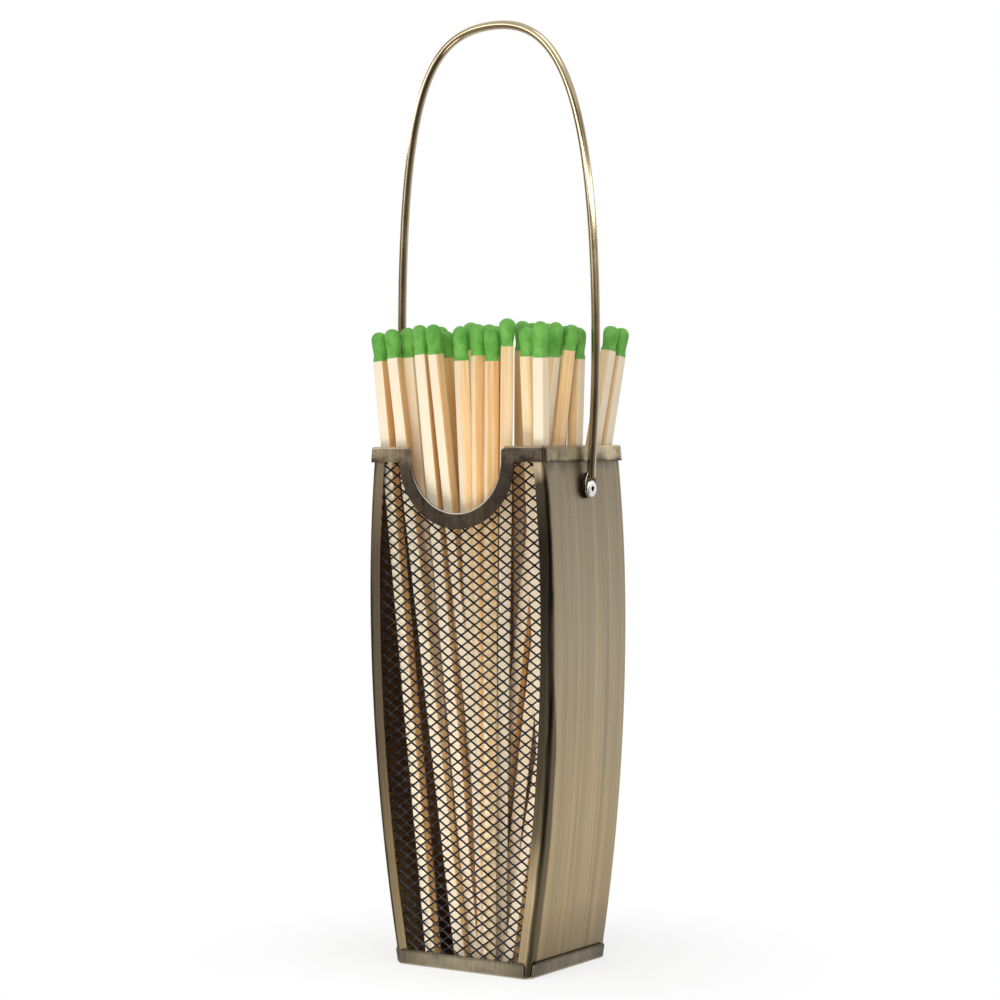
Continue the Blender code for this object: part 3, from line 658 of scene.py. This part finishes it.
def arc(centre, radius, start, end, steps):
    """Points along an arc between two angles in degrees."""
    points = []
    for step in range(steps + 1):
        angle = math.radians(start + (end - start) * step / steps)
        points.append((centre[0] + radius * math.cos(angle),
                       centre[1] + radius * math.sin(angle)))
    return points


def fold_points(corner, foot, radius, steps=6):
    """Round fold at a corner, from the level sheet into the one that runs to foot."""
    corner = Vector(corner)
    fall = (Vector(foot) - corner).normalized()
    turn = Vector((1.0, 0.0)).angle(fall)
    side = 1.0 if fall.y > 0 else -1.0
    start = corner - Vector((radius * math.tan(turn / 2), 0.0))
    centre = start + Vector((0.0, side * radius))
    points = []
    for step in range(steps + 1):
        angle = turn * step / steps
        points.append(centre + radius * Vector((math.sin(angle), -side * math.cos(angle))))
    return points


def around(side, out, along, height):
    """Point out from the axis and along one of the four sides; side 0 faces +X."""
    x, y = out, along
    for _ in range(side):
        x, y = -y, x
    return Vector((x, y, height))


def strip(side, profile, start, end):
    """Faces of a profile drawn along one side between two places."""
    faces = []
    for upper, lower in zip(profile, profile[1:]):
        faces.append([
            around(side, upper[0], start, upper[1]),
            around(side, upper[0], end, upper[1]),
            around(side, lower[0], end, lower[1]),
            around(side, lower[0], start, lower[1]),
        ])
    return faces


def hole_cutter():
    """Pin through both sides that cuts the holes for the rivets."""
    bm = bmesh.new()
    bmesh.ops.create_cone(bm, cap_ends=True, segments=40, radius1=HOLE_RADIUS,
                          radius2=HOLE_RADIUS, depth=2 * PIN_REACH)
    obj = new_object("rivet_holes", new_mesh("rivet_holes", bm))
    obj.rotation_euler = (0.0, math.radians(90), 0.0)
    obj.location = (0.0, 0.0, RIVET_HEIGHT)
    return obj


def running_lengths(points):
    """Length along a line of points, up to each of them."""
    lengths = [0.0]
    for a, b in zip(points, points[1:]):
        lengths.append(lengths[-1] + (Vector(b) - Vector(a)).length)
    return lengths


# Sheet metal

def side_panel(name, hand, cutter):
    """Channel section drawn up the swelling outline, its flanges at front and back."""
    half_depth = BODY_DEPTH / 2
    bend = BEND_RADIUS
    section = [(-FLANGE_WIDTH, -half_depth), (-0.5 * (FLANGE_WIDTH + bend), -half_depth)]
    section += arc((-bend, bend - half_depth), bend, -90, 0, 8)
    section += [(0.0, -half_depth * 0.5), (0.0, 0.0), (0.0, half_depth * 0.5)]
    section += arc((-bend, half_depth - bend), bend, 0, 90, 8)
    section += [(-0.5 * (FLANGE_WIDTH + bend), half_depth), (-FLANGE_WIDTH, half_depth)]
    length = running_lengths(section)
    rise = (PANEL_TOP - PANEL_BOTTOM) / STATIONS
    rows = []
    for station in range(STATIONS + 1):
        height = PANEL_BOTTOM + rise * station
        width = half_width(height)
        rows.append([Vector((hand * (width + x), y, height)) for x, y in section])
    faces = []
    lay = []
    for low, high in zip(rows, rows[1:]):
        for k in range(len(section) - 1):
            faces.append([low[k], low[k + 1], high[k + 1], high[k]])
            lay.append([(length[k], low[k].z), (length[k + 1], low[k].z),
                        (length[k + 1], high[k].z), (length[k], high[k].z)])
    mesh = surface_mesh(name, faces, (hand, 0, 0), lay)
    obj = add_piece(name + "_sheet", mesh, "holder", "brushed_brass", [name],
                    PANEL_RIGHT if hand > 0 else PANEL_LEFT)
    add_thickness(obj, SHEET)
    add_cut(obj, cutter)
    add_bevel(obj, SHEET_BEVEL)
    apply_all(obj)


def tab(side, root, foot, start, end, round_start, round_end):
    """Folded-up tab of the tray, with rounded free corners."""
    length = (foot - root).length
    corner = TAB_CORNER
    outline = [(start, 0.0), (end, 0.0)]
    if round_end:
        outline += arc((end - corner, length - corner), corner, 0, 90, 8)
    else:
        outline.append((end, length))
    if round_start:
        outline += arc((start + corner, length - corner), corner, 90, 180, 8)
    else:
        outline.append((start, length))
    points = []
    for along, rise in outline:
        spot = root.lerp(foot, rise / length)
        points.append(around(side, spot.x, along, spot.y))
    return points


def folded_walls(level, free, radius, relief):
    """Reach, foot and fold of a side wall and of an end wall, from level to free."""
    walls = []
    for outer, foot in ((half_width(level) + OUTSIDE, half_width(free) + OUTSIDE),
                        (BODY_DEPTH / 2 + OUTSIDE, BODY_DEPTH / 2 + OUTSIDE)):
        foot = Vector((foot, free))
        walls.append((outer - relief, foot, fold_points((outer, level), foot, radius)))
    return walls


def tray():
    """Right half of the tray's floor, folds and tabs, mirrored."""
    side, end = folded_walls(0.0, TAB_HEIGHT, TRAY_FOLD_RADIUS, TRAY_RELIEF)
    reach_x, side_foot, side_fold = side
    reach_y, end_foot, end_fold = end
    flat_x = side_fold[0][0]
    flat_y = end_fold[0][0]
    faces = [[Vector((x, y, 0.0)) for x, y in (
        (0.0, -flat_y), (reach_x, -flat_y), (flat_x, -reach_y),
        (flat_x, reach_y), (reach_x, flat_y), (0.0, flat_y))]]
    faces += strip(0, side_fold, -reach_y, reach_y)
    faces += strip(1, end_fold, -reach_x, 0.0)
    faces += strip(3, end_fold, 0.0, reach_x)
    faces.append(tab(0, side_fold[-1], side_foot, -reach_y, reach_y, True, True))
    faces.append(tab(1, end_fold[-1], end_foot, -reach_x, 0.0, True, False))
    faces.append(tab(3, end_fold[-1], end_foot, 0.0, reach_x, False, True))
    mesh = surface_mesh("tray", faces, (0, 0, -1))
    obj = add_piece("tray_sheet", mesh, "holder", "brushed_brass", ["base_tray"], TRAY)
    add_mirror(obj)
    add_thickness(obj, SHEET)
    add_bevel(obj, SHEET_BEVEL)
    apply_all(obj)


def top_rim():
    """Right half of the rim: ledge, folds, skirt and the band round the notch, mirrored."""
    skirt = BODY_HEIGHT - RIM_DROP
    side, end = folded_walls(BODY_HEIGHT, skirt, RIM_FOLD_RADIUS, RIM_RELIEF)
    reach_x, side_foot, side_fold = side
    reach_y, end_foot, end_fold = end
    flat_x = side_fold[0][0]
    flat_y = end_fold[0][0]
    inner_x = reach_x + RIM_RELIEF - RIM_LEDGE
    inner_y = reach_y + RIM_RELIEF - RIM_LEDGE
    faces = [[Vector((x, y, BODY_HEIGHT)) for x, y in (
        (NOTCH_STOP, -flat_y), (reach_x, -flat_y), (flat_x, -reach_y),
        (flat_x, reach_y), (reach_x, flat_y), (0.0, flat_y), (0.0, inner_y),
        (inner_x, inner_y), (inner_x, -inner_y), (NOTCH_STOP, -inner_y))]]
    faces += strip(0, side_fold + [side_foot], -reach_y, reach_y)
    faces += strip(1, end_fold + [end_foot], -reach_x, 0.0)
    faces += strip(3, end_fold, NOTCH_STOP, reach_x)
    top = end_fold[-1][1]
    band_radius = NOTCH_RADIUS + BAND_WIDTH
    dip = math.degrees(math.asin((NOTCH_CENTRE - skirt) / band_radius))
    centre = (0.0, NOTCH_CENTRE)
    front = [(reach_x, top), (reach_x, skirt)]
    front += arc(centre, band_radius, -dip, -90, 40)
    front += arc(centre, NOTCH_RADIUS, -90, 0, 40)
    front += arc((NOTCH_STOP, top - EAR_RADIUS), EAR_RADIUS, 180, 90, 8)
    faces.append([Vector((x, -end_foot.x, z)) for x, z in front])
    mesh = surface_mesh("rim", faces, (0, -1, 0))
    obj = add_piece("rim_sheet", mesh, "holder", "dark_bronze", ["top_rim"], RIM)
    add_mirror(obj)
    add_thickness(obj, SHEET)
    add_bevel(obj, RIM_BEVEL, 3)
    apply_all(obj)


# Diamond mesh

def beam(bm, start, end, face_normal, wide, thick):
    """Straight strand of rectangular section with narrow chamfers."""
    along = (end - start).normalized()
    normal = (face_normal - along * face_normal.dot(along)).normalized()
    side = along.cross(normal)
    cut = STRAND_CHAMFER_SHARE * thick
    w = wide / 2
    t = thick / 2
    section = [(w, t - cut), (w - cut, t), (cut - w, t), (-w, t - cut),
               (-w, cut - t), (cut - w, -t), (w - cut, -t), (w, cut - t)]
    low, high = [[bm.verts.new(spot + side * a + normal * b) for a, b in section]
                 for spot in (start, end)]
    faces = tube_faces(bm, low, high)
    faces.append(bm.faces.new(list(reversed(low))))
    faces.append(bm.faces.new(high))
    return faces


def inside_mesh(x, z):
    """Whether the mesh shows at a place: within the panels' flanges and off the notch."""
    if not PANEL_BOTTOM + MESH_END < z < PANEL_TOP - MESH_END:
        return False
    if abs(x) > half_width(z) - BEND_RADIUS - MESH_SIDE_GAP:
        return False
    return math.hypot(x, z - NOTCH_CENTRE) > NOTCH_RADIUS + BAND_COVER * BAND_WIDTH


def strand_runs(family, foot_x):
    """Stretches of one slanting strand that lie inside the mesh."""
    samples = int(2 * BELLY_HALF_WIDTH / SCAN_STEP)
    run = None
    for k in range(samples + 1):
        reach = k * SCAN_STEP - BELLY_HALF_WIDTH
        z = family * (reach - foot_x) * MESH_SLOPE
        x = reach - z * MESH_LEAN
        good = inside_mesh(x, z)
        if good and run is None:
            run = (x, z)
        if run is not None and (not good or k == samples):
            if x - run[0] > SHORTEST_STRAND:
                yield run, (x, z)
            run = None


def diamond_mesh():
    bm = bmesh.new()
    tilt = Vector((0.0, -math.cos(STRAND_TILT), math.sin(STRAND_TILT)))
    up = Vector((0.0, math.sin(STRAND_TILT), math.cos(STRAND_TILT)))
    first = int(-(BELLY_HALF_WIDTH + BODY_HEIGHT / MESH_SLOPE) / PITCH_ACROSS) - 1
    for family in (1, -1):
        for number in range(first, -first + 1):
            for start, end in strand_runs(family, number * PITCH_ACROSS):
                beam(bm, Vector((start[0], MESH_PLANE, start[1])),
                     Vector((end[0], MESH_PLANE, end[1])), tilt, STRAND_FACE, STRAND_THICK)
    # A thicker twist stands upright at every crossing
    rows = int(2 * BODY_HEIGHT / PITCH_UP) + 1
    columns = int(BELLY_HALF_WIDTH / PITCH_ACROSS) + 2
    for row in range(rows):
        for column in range(-columns, columns + 1):
            z = row * PITCH_UP / 2
            x = (column + (row % 2) / 2) * PITCH_ACROSS - z * MESH_LEAN
            if not (inside_mesh(x - KNOT_MARGIN, z) and inside_mesh(x + KNOT_MARGIN, z)):
                continue
            centre = Vector((x, MESH_PLANE, z))
            half = up * KNOT_LENGTH / 2
            # Its faces take the crossings' painted glint
            for face in beam(bm, centre - half, centre + half, tilt, KNOT_FACE, KNOT_THICK):
                face.material_index = 1
    add_piece("diamond_strands", closed_mesh("diamonds", bm), "holder", "dark_bronze",
              ["front_mesh"], STRAND, KNOT_PAINTED_GLINT, smooth=30)


# Bail and rivets

def half_bail(crown, apex_shift):
    """One leg and half of the arch, from the eye up to the apex, on the +X side."""
    wide = BAIL_HALF_WIDTH
    apex = BAIL_RISE - WIRE_RADIUS
    leg_top = BAIL_LEG_SHARE * BAIL_RISE
    seat = EYE_SEAT + WIRE_RADIUS + WIRE_SEAT_GAP
    leg = interpolate_bezier(
        (seat, 0, EYE_RADIUS + 0.0005), (seat, 0, 0.15 * leg_top),
        (wide, 0, 0.55 * leg_top), (wide, 0, leg_top), 26)
    arch = interpolate_bezier(
        (wide, 0, leg_top), (wide, 0, BAIL_SHOULDER_SHARE * BAIL_RISE),
        (apex_shift + crown * (wide - apex_shift), 0, apex), (apex_shift, 0, apex), 64)
    return leg + arch[1:]


def bail_wire(turn):
    right = half_bail(BAIL_CROWN_RIGHT, BAIL_APEX_SHIFT)
    left = half_bail(BAIL_CROWN_LEFT, -BAIL_APEX_SHIFT)
    points = right + [Vector((-p.x, 0, p.z)) for p in reversed(left[:-1])]
    run = running_lengths(points)
    bm = bmesh.new()
    lay = bm.loops.layers.uv.new("lay")
    step = 2 * math.pi * WIRE_RADIUS / WIRE_SIDES
    normal = Vector((0, 1, 0))
    rings = []
    for k, point in enumerate(points):
        ahead = points[min(k + 1, len(points) - 1)]
        behind = points[max(k - 1, 0)]
        side = (ahead - behind).normalized().cross(normal)
        rings.append([bm.verts.new(turn @ (point + x * side + y * normal)) for x, y in
                      arc((0, 0), WIRE_RADIUS, 0, 360, WIRE_SIDES)[:-1]])
    for k, (low, high) in enumerate(zip(rings, rings[1:])):
        for j, face in enumerate(tube_faces(bm, low, high)):
            places = ((j, k), (j + 1, k), (j + 1, k + 1), (j, k + 1))
            for loop, (u, v) in zip(face.loops, places):
                loop[lay].uv = (u * step, run[v])
    for ring in (rings[0], rings[-1]):
        bm.faces.new(ring)
    add_piece("bail_wire", closed_mesh("bail", bm), "handle", "wire_brass", ["handle"], WIRE)


def bail_eye(label, hand, turn, cutter):
    """Wire flattened into a pierced eye, with a neck that runs up into the leg."""
    outline = arc((0.0, 0.0), EYE_RADIUS, 180, 360, 40)
    outline += [(EYE_RADIUS, 0.45 * EYE_NECK), (0.93 * EYE_RADIUS, 0.62 * EYE_NECK),
                (0.75 * EYE_RADIUS, 0.80 * EYE_NECK), (1.1 * WIRE_RADIUS, EYE_NECK)]
    outline += [(-y, z) for y, z in reversed(outline[-4:])]
    outer = hand * (EYE_SEAT + EYE_THICKNESS)
    eye = surface_mesh("eye", [[turn @ Vector((outer, y, z)) for y, z in outline]],
                       (hand, 0, 0))
    obj = add_piece("bail_eye_" + label, eye, "handle", "wire_brass", [], EYE)
    add_thickness(obj, EYE_THICKNESS)
    add_cut(obj, cutter)
    add_bevel(obj, EYE_BEVEL, 3)
    apply_all(obj)


def bail(cutter):
    turn = Matrix.Translation((0, 0, RIVET_HEIGHT)) @ Matrix.Rotation(-BAIL_LEAN, 4, "X")
    bail_wire(turn)
    bail_eye("right", 1, turn, cutter)
    bail_eye("left", -1, turn, cutter)


def rivet(node, hand):
    """Blind rivet turned from its profile: hollow head, shank and closed end."""
    head_seat = EYE_SEAT + EYE_THICKNESS + HEAD_GAP
    inner = half_width(RIVET_HEIGHT + BULB_RADIUS) - SHEET - SEAT_GAP
    neck = inner - head_seat
    top = HEAD_THICKNESS
    recess = [
        (0.0, top - 0.0016), (0.35 * MANDREL_RADIUS, top - 0.0015),
        (0.8 * MANDREL_RADIUS, top - 0.0018), (MANDREL_RADIUS, top - 0.0017),
    ]
    outside = [
        (MANDREL_RADIUS, top - 0.00012), (1.12 * MANDREL_RADIUS, top),
        (0.45 * HEAD_RADIUS, top - 0.00001), (0.62 * HEAD_RADIUS, 0.96 * top),
        (0.78 * HEAD_RADIUS, 0.86 * top), (0.90 * HEAD_RADIUS, 0.66 * top),
        (0.98 * HEAD_RADIUS, 0.36 * top), (HEAD_RADIUS, 0.12 * top),
        (0.985 * HEAD_RADIUS, 0.0), (SHANK_RADIUS, 0.0), (SHANK_RADIUS, neck),
        (0.93 * BULB_RADIUS, neck - 0.0002), (BULB_RADIUS, neck - 0.0006),
        (BULB_RADIUS, neck - 0.55 * BULB_LENGTH), (0.8 * BULB_RADIUS, neck - 0.8 * BULB_LENGTH),
        (0.5 * BULB_RADIUS, neck - BULB_LENGTH), (0.0, neck - BULB_LENGTH),
    ]
    place = (Matrix.Translation((hand * head_seat, 0.0, RIVET_HEIGHT))
             @ Matrix.Rotation(hand * math.radians(90), 4, "Y"))
    bm = bmesh.new()
    rings = []
    for radius, height in recess + outside:
        spots = arc((0, 0), radius, 0, 360, RIVET_SIDES)[:-1] if radius else [(0, 0)]
        rings.append([bm.verts.new(place @ Vector((x, y, height))) for x, y in spots])
    # The recess, its wall as well as the mandrel, takes the dark colour: painted shade in the
    # hollow
    for row, (low, high) in enumerate(zip(rings, rings[1:])):
        for face in tube_faces(bm, low, high):
            face.material_index = 1 if row < len(recess) else 0
    add_piece(node + "_turned", closed_mesh(node, bm), "holder", "rivet_metal", [node],
              RIVET, MANDREL_AND_RECESS_SHADE, smooth=30)


# Matches

def match_place(node):
    """Place and length of one match, read from its solid in the frame."""
    points = sorted({tuple(round(c, 7) for c in v.co) for v in NODES[node].data.vertices},
                    key=lambda p: p[2])
    foot = sum((Vector(p) for p in points[:8]), Vector()) / 8
    head = sum((Vector(p) for p in points[-8:]), Vector()) / 8
    lean = (head - foot).normalized()
    tilt = Vector((0.0, 0.0, 1.0)).rotation_difference(lean).to_matrix()
    turn_x = 0.0
    turn_y = 0.0
    for point in points[:8]:
        flat = tilt.transposed() @ (Vector(point) - foot)
        angle = 4 * math.atan2(flat.y, flat.x)
        turn_x += math.cos(angle)
        turn_y += math.sin(angle)
    twist = (math.atan2(turn_y, turn_x) % (2 * math.pi)) / 4 - math.radians(45)
    place = Matrix.Translation(foot) @ tilt.to_4x4() @ Matrix.Rotation(twist, 4, "Z")
    return place, (head - foot).length


def stick_outline():
    """Square outline with rounded corners, anticlockwise from the right side."""
    outline = []
    core = STICK_SIDE / 2 - STICK_CHAMFER
    for corner in range(4):
        centre = (core * (1 if corner in (0, 3) else -1),
                  core * (1 if corner in (0, 1) else -1))
        outline += [Vector((x, y, 0)) for x, y in
                    arc(centre, STICK_CHAMFER, 90 * corner, 90 * corner + 90, CORNER_STEPS)]
        along = Matrix.Rotation(math.radians(90 * corner), 3, "Z")
        for split in range(1, SIDE_SPLITS):
            outline.append(along @ Vector((core * (1 - 2 * split / SIDE_SPLITS),
                                           STICK_SIDE / 2, 0)))
    return outline


def head_point(corner, share, width, blend, base, head_length, seed):
    """Point of the head above one corner of the stick: square turning round, with lumps."""
    radius = HEAD_WIDTH / 2 - HEAD_INSET
    around_x, around_y = corner.normalized().xy
    square = corner * (1.0 if share < 0 else 1.03)
    circle = Vector((around_x, around_y, 0)) * radius * width
    flat = square.lerp(circle, blend)
    spot = Vector((flat.x, flat.y, base + share * head_length))
    if blend:
        if share < 0.1:
            spot.z += 0.0005 * noise.noise(Vector((2.2 * around_x, 2.2 * around_y, seed)))
        lump = noise.noise(Vector((spot.x * 330, spot.y * 330, spot.z * 260 + seed)))
        keep = min(1 + 0.045 * lump, radius / max(1e-9, math.hypot(spot.x, spot.y)))
        spot.x *= keep
        spot.y *= keep
    return spot


def match(number, node, body):
    place, match_length = match_place(node)
    bm = bmesh.new()
    grain = bm.loops.layers.uv.new("grain")
    tone = bm.loops.layers.float.new("tone")
    seed = 7.31 * number
    # The front and right faces take painted light and shade from the table; the back and left
    # vary at random
    front, right = FACE_PAINTED_LIGHT[number - 1]
    back = 0.5 + 0.3 * math.sin(3.1 * number)
    left = 0.5 + 0.3 * math.sin(5.3 * number + 0.7)
    side_tones_and_light = (back, left, front, right)
    sheltered_light = [low_face_light + 0.09 * math.sin(7.7 * number + 1.3 * side)
                 for side, low_face_light in enumerate(SHELTERED_PAINTED_LIGHT)]
    head_length = HEAD_LENGTH * HEAD_STRETCH[number - 1]
    base = match_length - head_length
    outline = stick_outline()
    count = len(outline)
    per_side = count // 4
    length = running_lengths(outline + outline[:1])
    heights = [0.0, 0.0002] + [base * k / 10 for k in range(1, 10)] + [base - WOOD_STOP]
    rings = []
    for height in heights:
        squeeze = 0.985 if height == 0.0 else 1.0
        sway = SWAY * Vector((math.sin(40 * height + seed), math.cos(33 * height + seed), 0))
        rings.append([bm.verts.new(corner * squeeze + sway + Vector((0, 0, height)))
                      for corner in outline])
    for share, width, blend in HEAD_PROFILE:
        rings.append([bm.verts.new(head_point(corner, share, width, blend, base, head_length,
                                              seed)) for corner in outline])
    rings.append([bm.verts.new((0, 0, base + head_length * 0.998))])
    for row, (low, high) in enumerate(zip(rings, rings[1:])):
        for k, face in enumerate(tube_faces(bm, low, high)):
            face.material_index = 0 if row < len(heights) else 1
            if len(high) == 1:
                continue
            for loop, run, ring in zip(face.loops, (k, k + 1, k + 1, k),
                                       (low, low, high, high)):
                height = ring[k].co.z
                loop[grain].uv = (length[run] + 0.173 * number, height + 0.41 * number)
                # Low down, each face changes over to the sheltered painted light and shade
                sheltered = min(1.0, max(0.0, (SHELTER_TOP - height) / SHELTER_FADE))
                loop[tone] = (side_tones_and_light[k // per_side] * (1 - sheltered)
                              + sheltered_light[k // per_side] * sheltered)
    foot_cap = bm.faces.new(list(reversed(rings[0])))
    for loop in foot_cap.loops:
        loop[tone] = 0.3
        loop[grain].uv = (loop.vert.co.x + 0.2 * number, loop.vert.co.y)
    bmesh.ops.transform(bm, matrix=place, verts=bm.verts)
    add_piece(node + "_stick", closed_mesh(node, bm), body, "match_wood", [node], WOOD, GREEN,
              smooth=55)


def build_matches():
    bodies = {}
    for body, members in frame["record"]["behaviour"]["bodies"].items():
        for member in members:
            bodies[member] = body
    names = sorted(name for name in NODES if name.startswith("match_"))
    for number, node in enumerate(names, 1):
        match(number, node, bodies[node])


# Stage, light and camera

# Camera fitted to the holder's edges in the photograph
PICTURE = 1000
SENSOR = 36.0
FOCAL_PIXELS = 2612
AIM_PIXEL = (498.4, 703.3)
CAMERA_YAW = math.radians(34.44)
CAMERA_PITCH = math.radians(1.24)
CAMERA_ROLL = math.radians(-0.49)
CAMERA_DISTANCE = 1.030

# Azimuth 0 is the front, positive to the right.
# Name, azimuth, elevation, distance, size, energy, height aimed at
LAMPS = (
    ("key", 24, 17, 1.5, 0.60, 3.5, 0.16),
    ("top", 60, 70, 1.3, 0.70, 3.0, 0.16),
    ("fill", 4, 3, 0.19, 0.15, 0.38, 0.020),
)
# Distance from the axis and height of a card's edges
LOW_CARD = ((0.16, 0.0005), (1.25, 0.0005), (1.25, 1.10))
BAIL_CARD = ((1.235, 0.37), (1.235, 1.09))
HIGH_CARD = ((1.24, 0.55), (1.24, 0.68))
CARD_STEPS = 12
# Name, first and last azimuth, colour, strength, edges
CARDS = (
    ("front_card", -84, 2, (0.38, 0.33, 0.27), 1.0, LOW_CARD),
    ("dark_card", 2, 47, (0.08, 0.07, 0.06), 1.0, LOW_CARD),
    ("side_dark_card", 47, 68, (0.09, 0.08, 0.07), 1.0, LOW_CARD),
    ("side_card", 68, 118, (0.30, 0.28, 0.25), 1.0, LOW_CARD),
    ("bail_edge_card", -84, -42, (0.16, 0.135, 0.105), 1.0, BAIL_CARD),
    ("bail_stripe_card", -42, -18, (1.0, 0.98, 0.94), 1.9, BAIL_CARD),
    ("bail_gold_card", -18, 12, (0.56, 0.49, 0.38), 1.0, BAIL_CARD),
    ("bail_dark_card", 12, 46, (0.08, 0.068, 0.055), 1.0, BAIL_CARD),
    ("bail_right_card", 46, 88, (0.74, 0.66, 0.51), 1.0, BAIL_CARD),
    ("bail_shade_card", 88, 118, (0.30, 0.26, 0.20), 1.0, BAIL_CARD),
    ("high_card", -100, 130, (1.0, 0.98, 0.94), 7.0, HIGH_CARD),
)
AMBIENT = 0.62
FLOOR_HALF = 6.0
FLOOR_DROP = 0.0002
# The floor's own shading fades to the white background between these distances
FLOOR_FADE = (0.030, 0.15)


def camera():
    """The photograph's view."""
    data = bpy.data.cameras.new("camera")
    data.sensor_width = SENSOR
    data.lens = SENSOR * FOCAL_PIXELS / PICTURE
    data.clip_start = 0.01
    data.clip_end = 50.0
    data.dof.use_dof = False
    obj = new_object("camera", data)
    forward = Vector((-math.sin(CAMERA_YAW) * math.cos(CAMERA_PITCH),
                      math.cos(CAMERA_YAW) * math.cos(CAMERA_PITCH), -math.sin(CAMERA_PITCH)))
    level = Vector((math.cos(CAMERA_YAW), math.sin(CAMERA_YAW), 0.0))
    up = level.cross(forward)
    right = level * math.cos(CAMERA_ROLL) + up * math.sin(CAMERA_ROLL)
    above = up * math.cos(CAMERA_ROLL) - level * math.sin(CAMERA_ROLL)
    aside, below = [(pixel - PICTURE / 2) / FOCAL_PIXELS * CAMERA_DISTANCE
                    for pixel in AIM_PIXEL]
    place = (Vector((0.0, 0.0, BODY_HEIGHT / 2)) - forward * CAMERA_DISTANCE
             - right * aside + above * below)
    turn = Matrix((right, above, -forward)).transposed()
    obj.matrix_world = Matrix.Translation(place) @ turn.to_4x4()
    bpy.context.scene.camera = obj


def lamp(name, azimuth, elevation, distance, size, energy, aim):
    """Soft square lamp that shines on the holder's axis."""
    data = bpy.data.lights.new(name, "AREA")
    data.shape = "SQUARE"
    data.size = size
    data.energy = energy
    obj = new_object(name, data)
    a = math.radians(azimuth)
    e = math.radians(elevation)
    way = Vector((math.sin(a) * math.cos(e), -math.cos(a) * math.cos(e), math.sin(e)))
    obj.location = Vector((0.0, 0.0, aim)) + way * distance
    obj.rotation_euler = way.to_track_quat("Z", "Y").to_euler()
    obj.visible_camera = False


def card(name, first, last, colour, strength, edges):
    """Curved card that only the metal mirrors, between two azimuths."""
    bm = bmesh.new()
    rows = []
    for step in range(CARD_STEPS + 1):
        angle = math.radians(first + (last - first) * step / CARD_STEPS)
        rows.append([bm.verts.new((math.sin(angle) * out, -math.cos(angle) * out, up))
                     for out, up in edges])
    for a, b in zip(rows, rows[1:]):
        for k in range(len(edges) - 1):
            bm.faces.new((a[k], b[k], b[k + 1], a[k + 1]))
    obj = new_object(name, new_mesh(name, bm))
    g = Graph(bpy.data.materials.new(name))
    light = g.fill(g.add("Emission"), Color=colour, Strength=strength)
    g.fill(g.out, Surface=light.outputs[0])
    obj.data.materials.append(g.owner)
    obj.visible_camera = False
    obj.visible_diffuse = False
    obj.visible_shadow = False
    obj.visible_transmission = False


def surroundings():
    """White behind the holder and in the metal, dimmer as the light that falls on it."""
    world = bpy.data.worlds.new("world")
    bpy.context.scene.world = world
    g = Graph(world, "OutputWorld")
    lit = g.fill(g.add("Background"), Color=(1.0, 1.0, 1.0), Strength=AMBIENT)
    shown = g.fill(g.add("Background"), Color=(1.0, 1.0, 1.0), Strength=1.0)
    g.blend(g.seen("Is Camera Ray", "Is Glossy Ray", "Is Transmission Ray"), lit, shown)


def floor():
    """Pale floor that keeps a soft shade at the holder's foot and fades to white."""
    bm = bmesh.new()
    bmesh.ops.create_grid(bm, x_segments=1, y_segments=1, size=FLOOR_HALF)
    obj = new_object("floor", new_mesh("floor", bm))
    obj.location.z = -FLOOR_DROP
    g = Graph(bpy.data.materials.new("floor"))
    pale = g.fill(g.add("BsdfDiffuse"), Color=(0.88, 0.88, 0.88))
    white = g.fill(g.add("Emission"), Strength=1.0)
    reach = g.add("VectorMath", operation="LENGTH")
    g.feed(g.coords(), reach.inputs[0])
    fade = g.span(reach.outputs["Value"], *FLOOR_FADE, 0.70)
    g.blend(g.times(g.seen("Is Camera Ray", "Is Glossy Ray"), fade), pale, white)
    obj.data.materials.append(g.owner)


holes = hole_cutter()
side_panel("right_side_panel", 1, holes)
side_panel("left_side_panel", -1, holes)
tray()
top_rim()
diamond_mesh()
bail(holes)
bpy.data.objects.remove(holes, do_unlink=True)
rivet("rivet_right", 1)
rivet("rivet_left", -1)
build_matches()

back = NODES["back_panel"]
back.data.materials.clear()
back.data.materials.append(BACK)

camera()
surroundings()
floor()
for values in LAMPS:
    lamp(*values)
for values in CARDS:
    card(*values)
bpy.context.scene.view_settings.view_transform = "Standard"
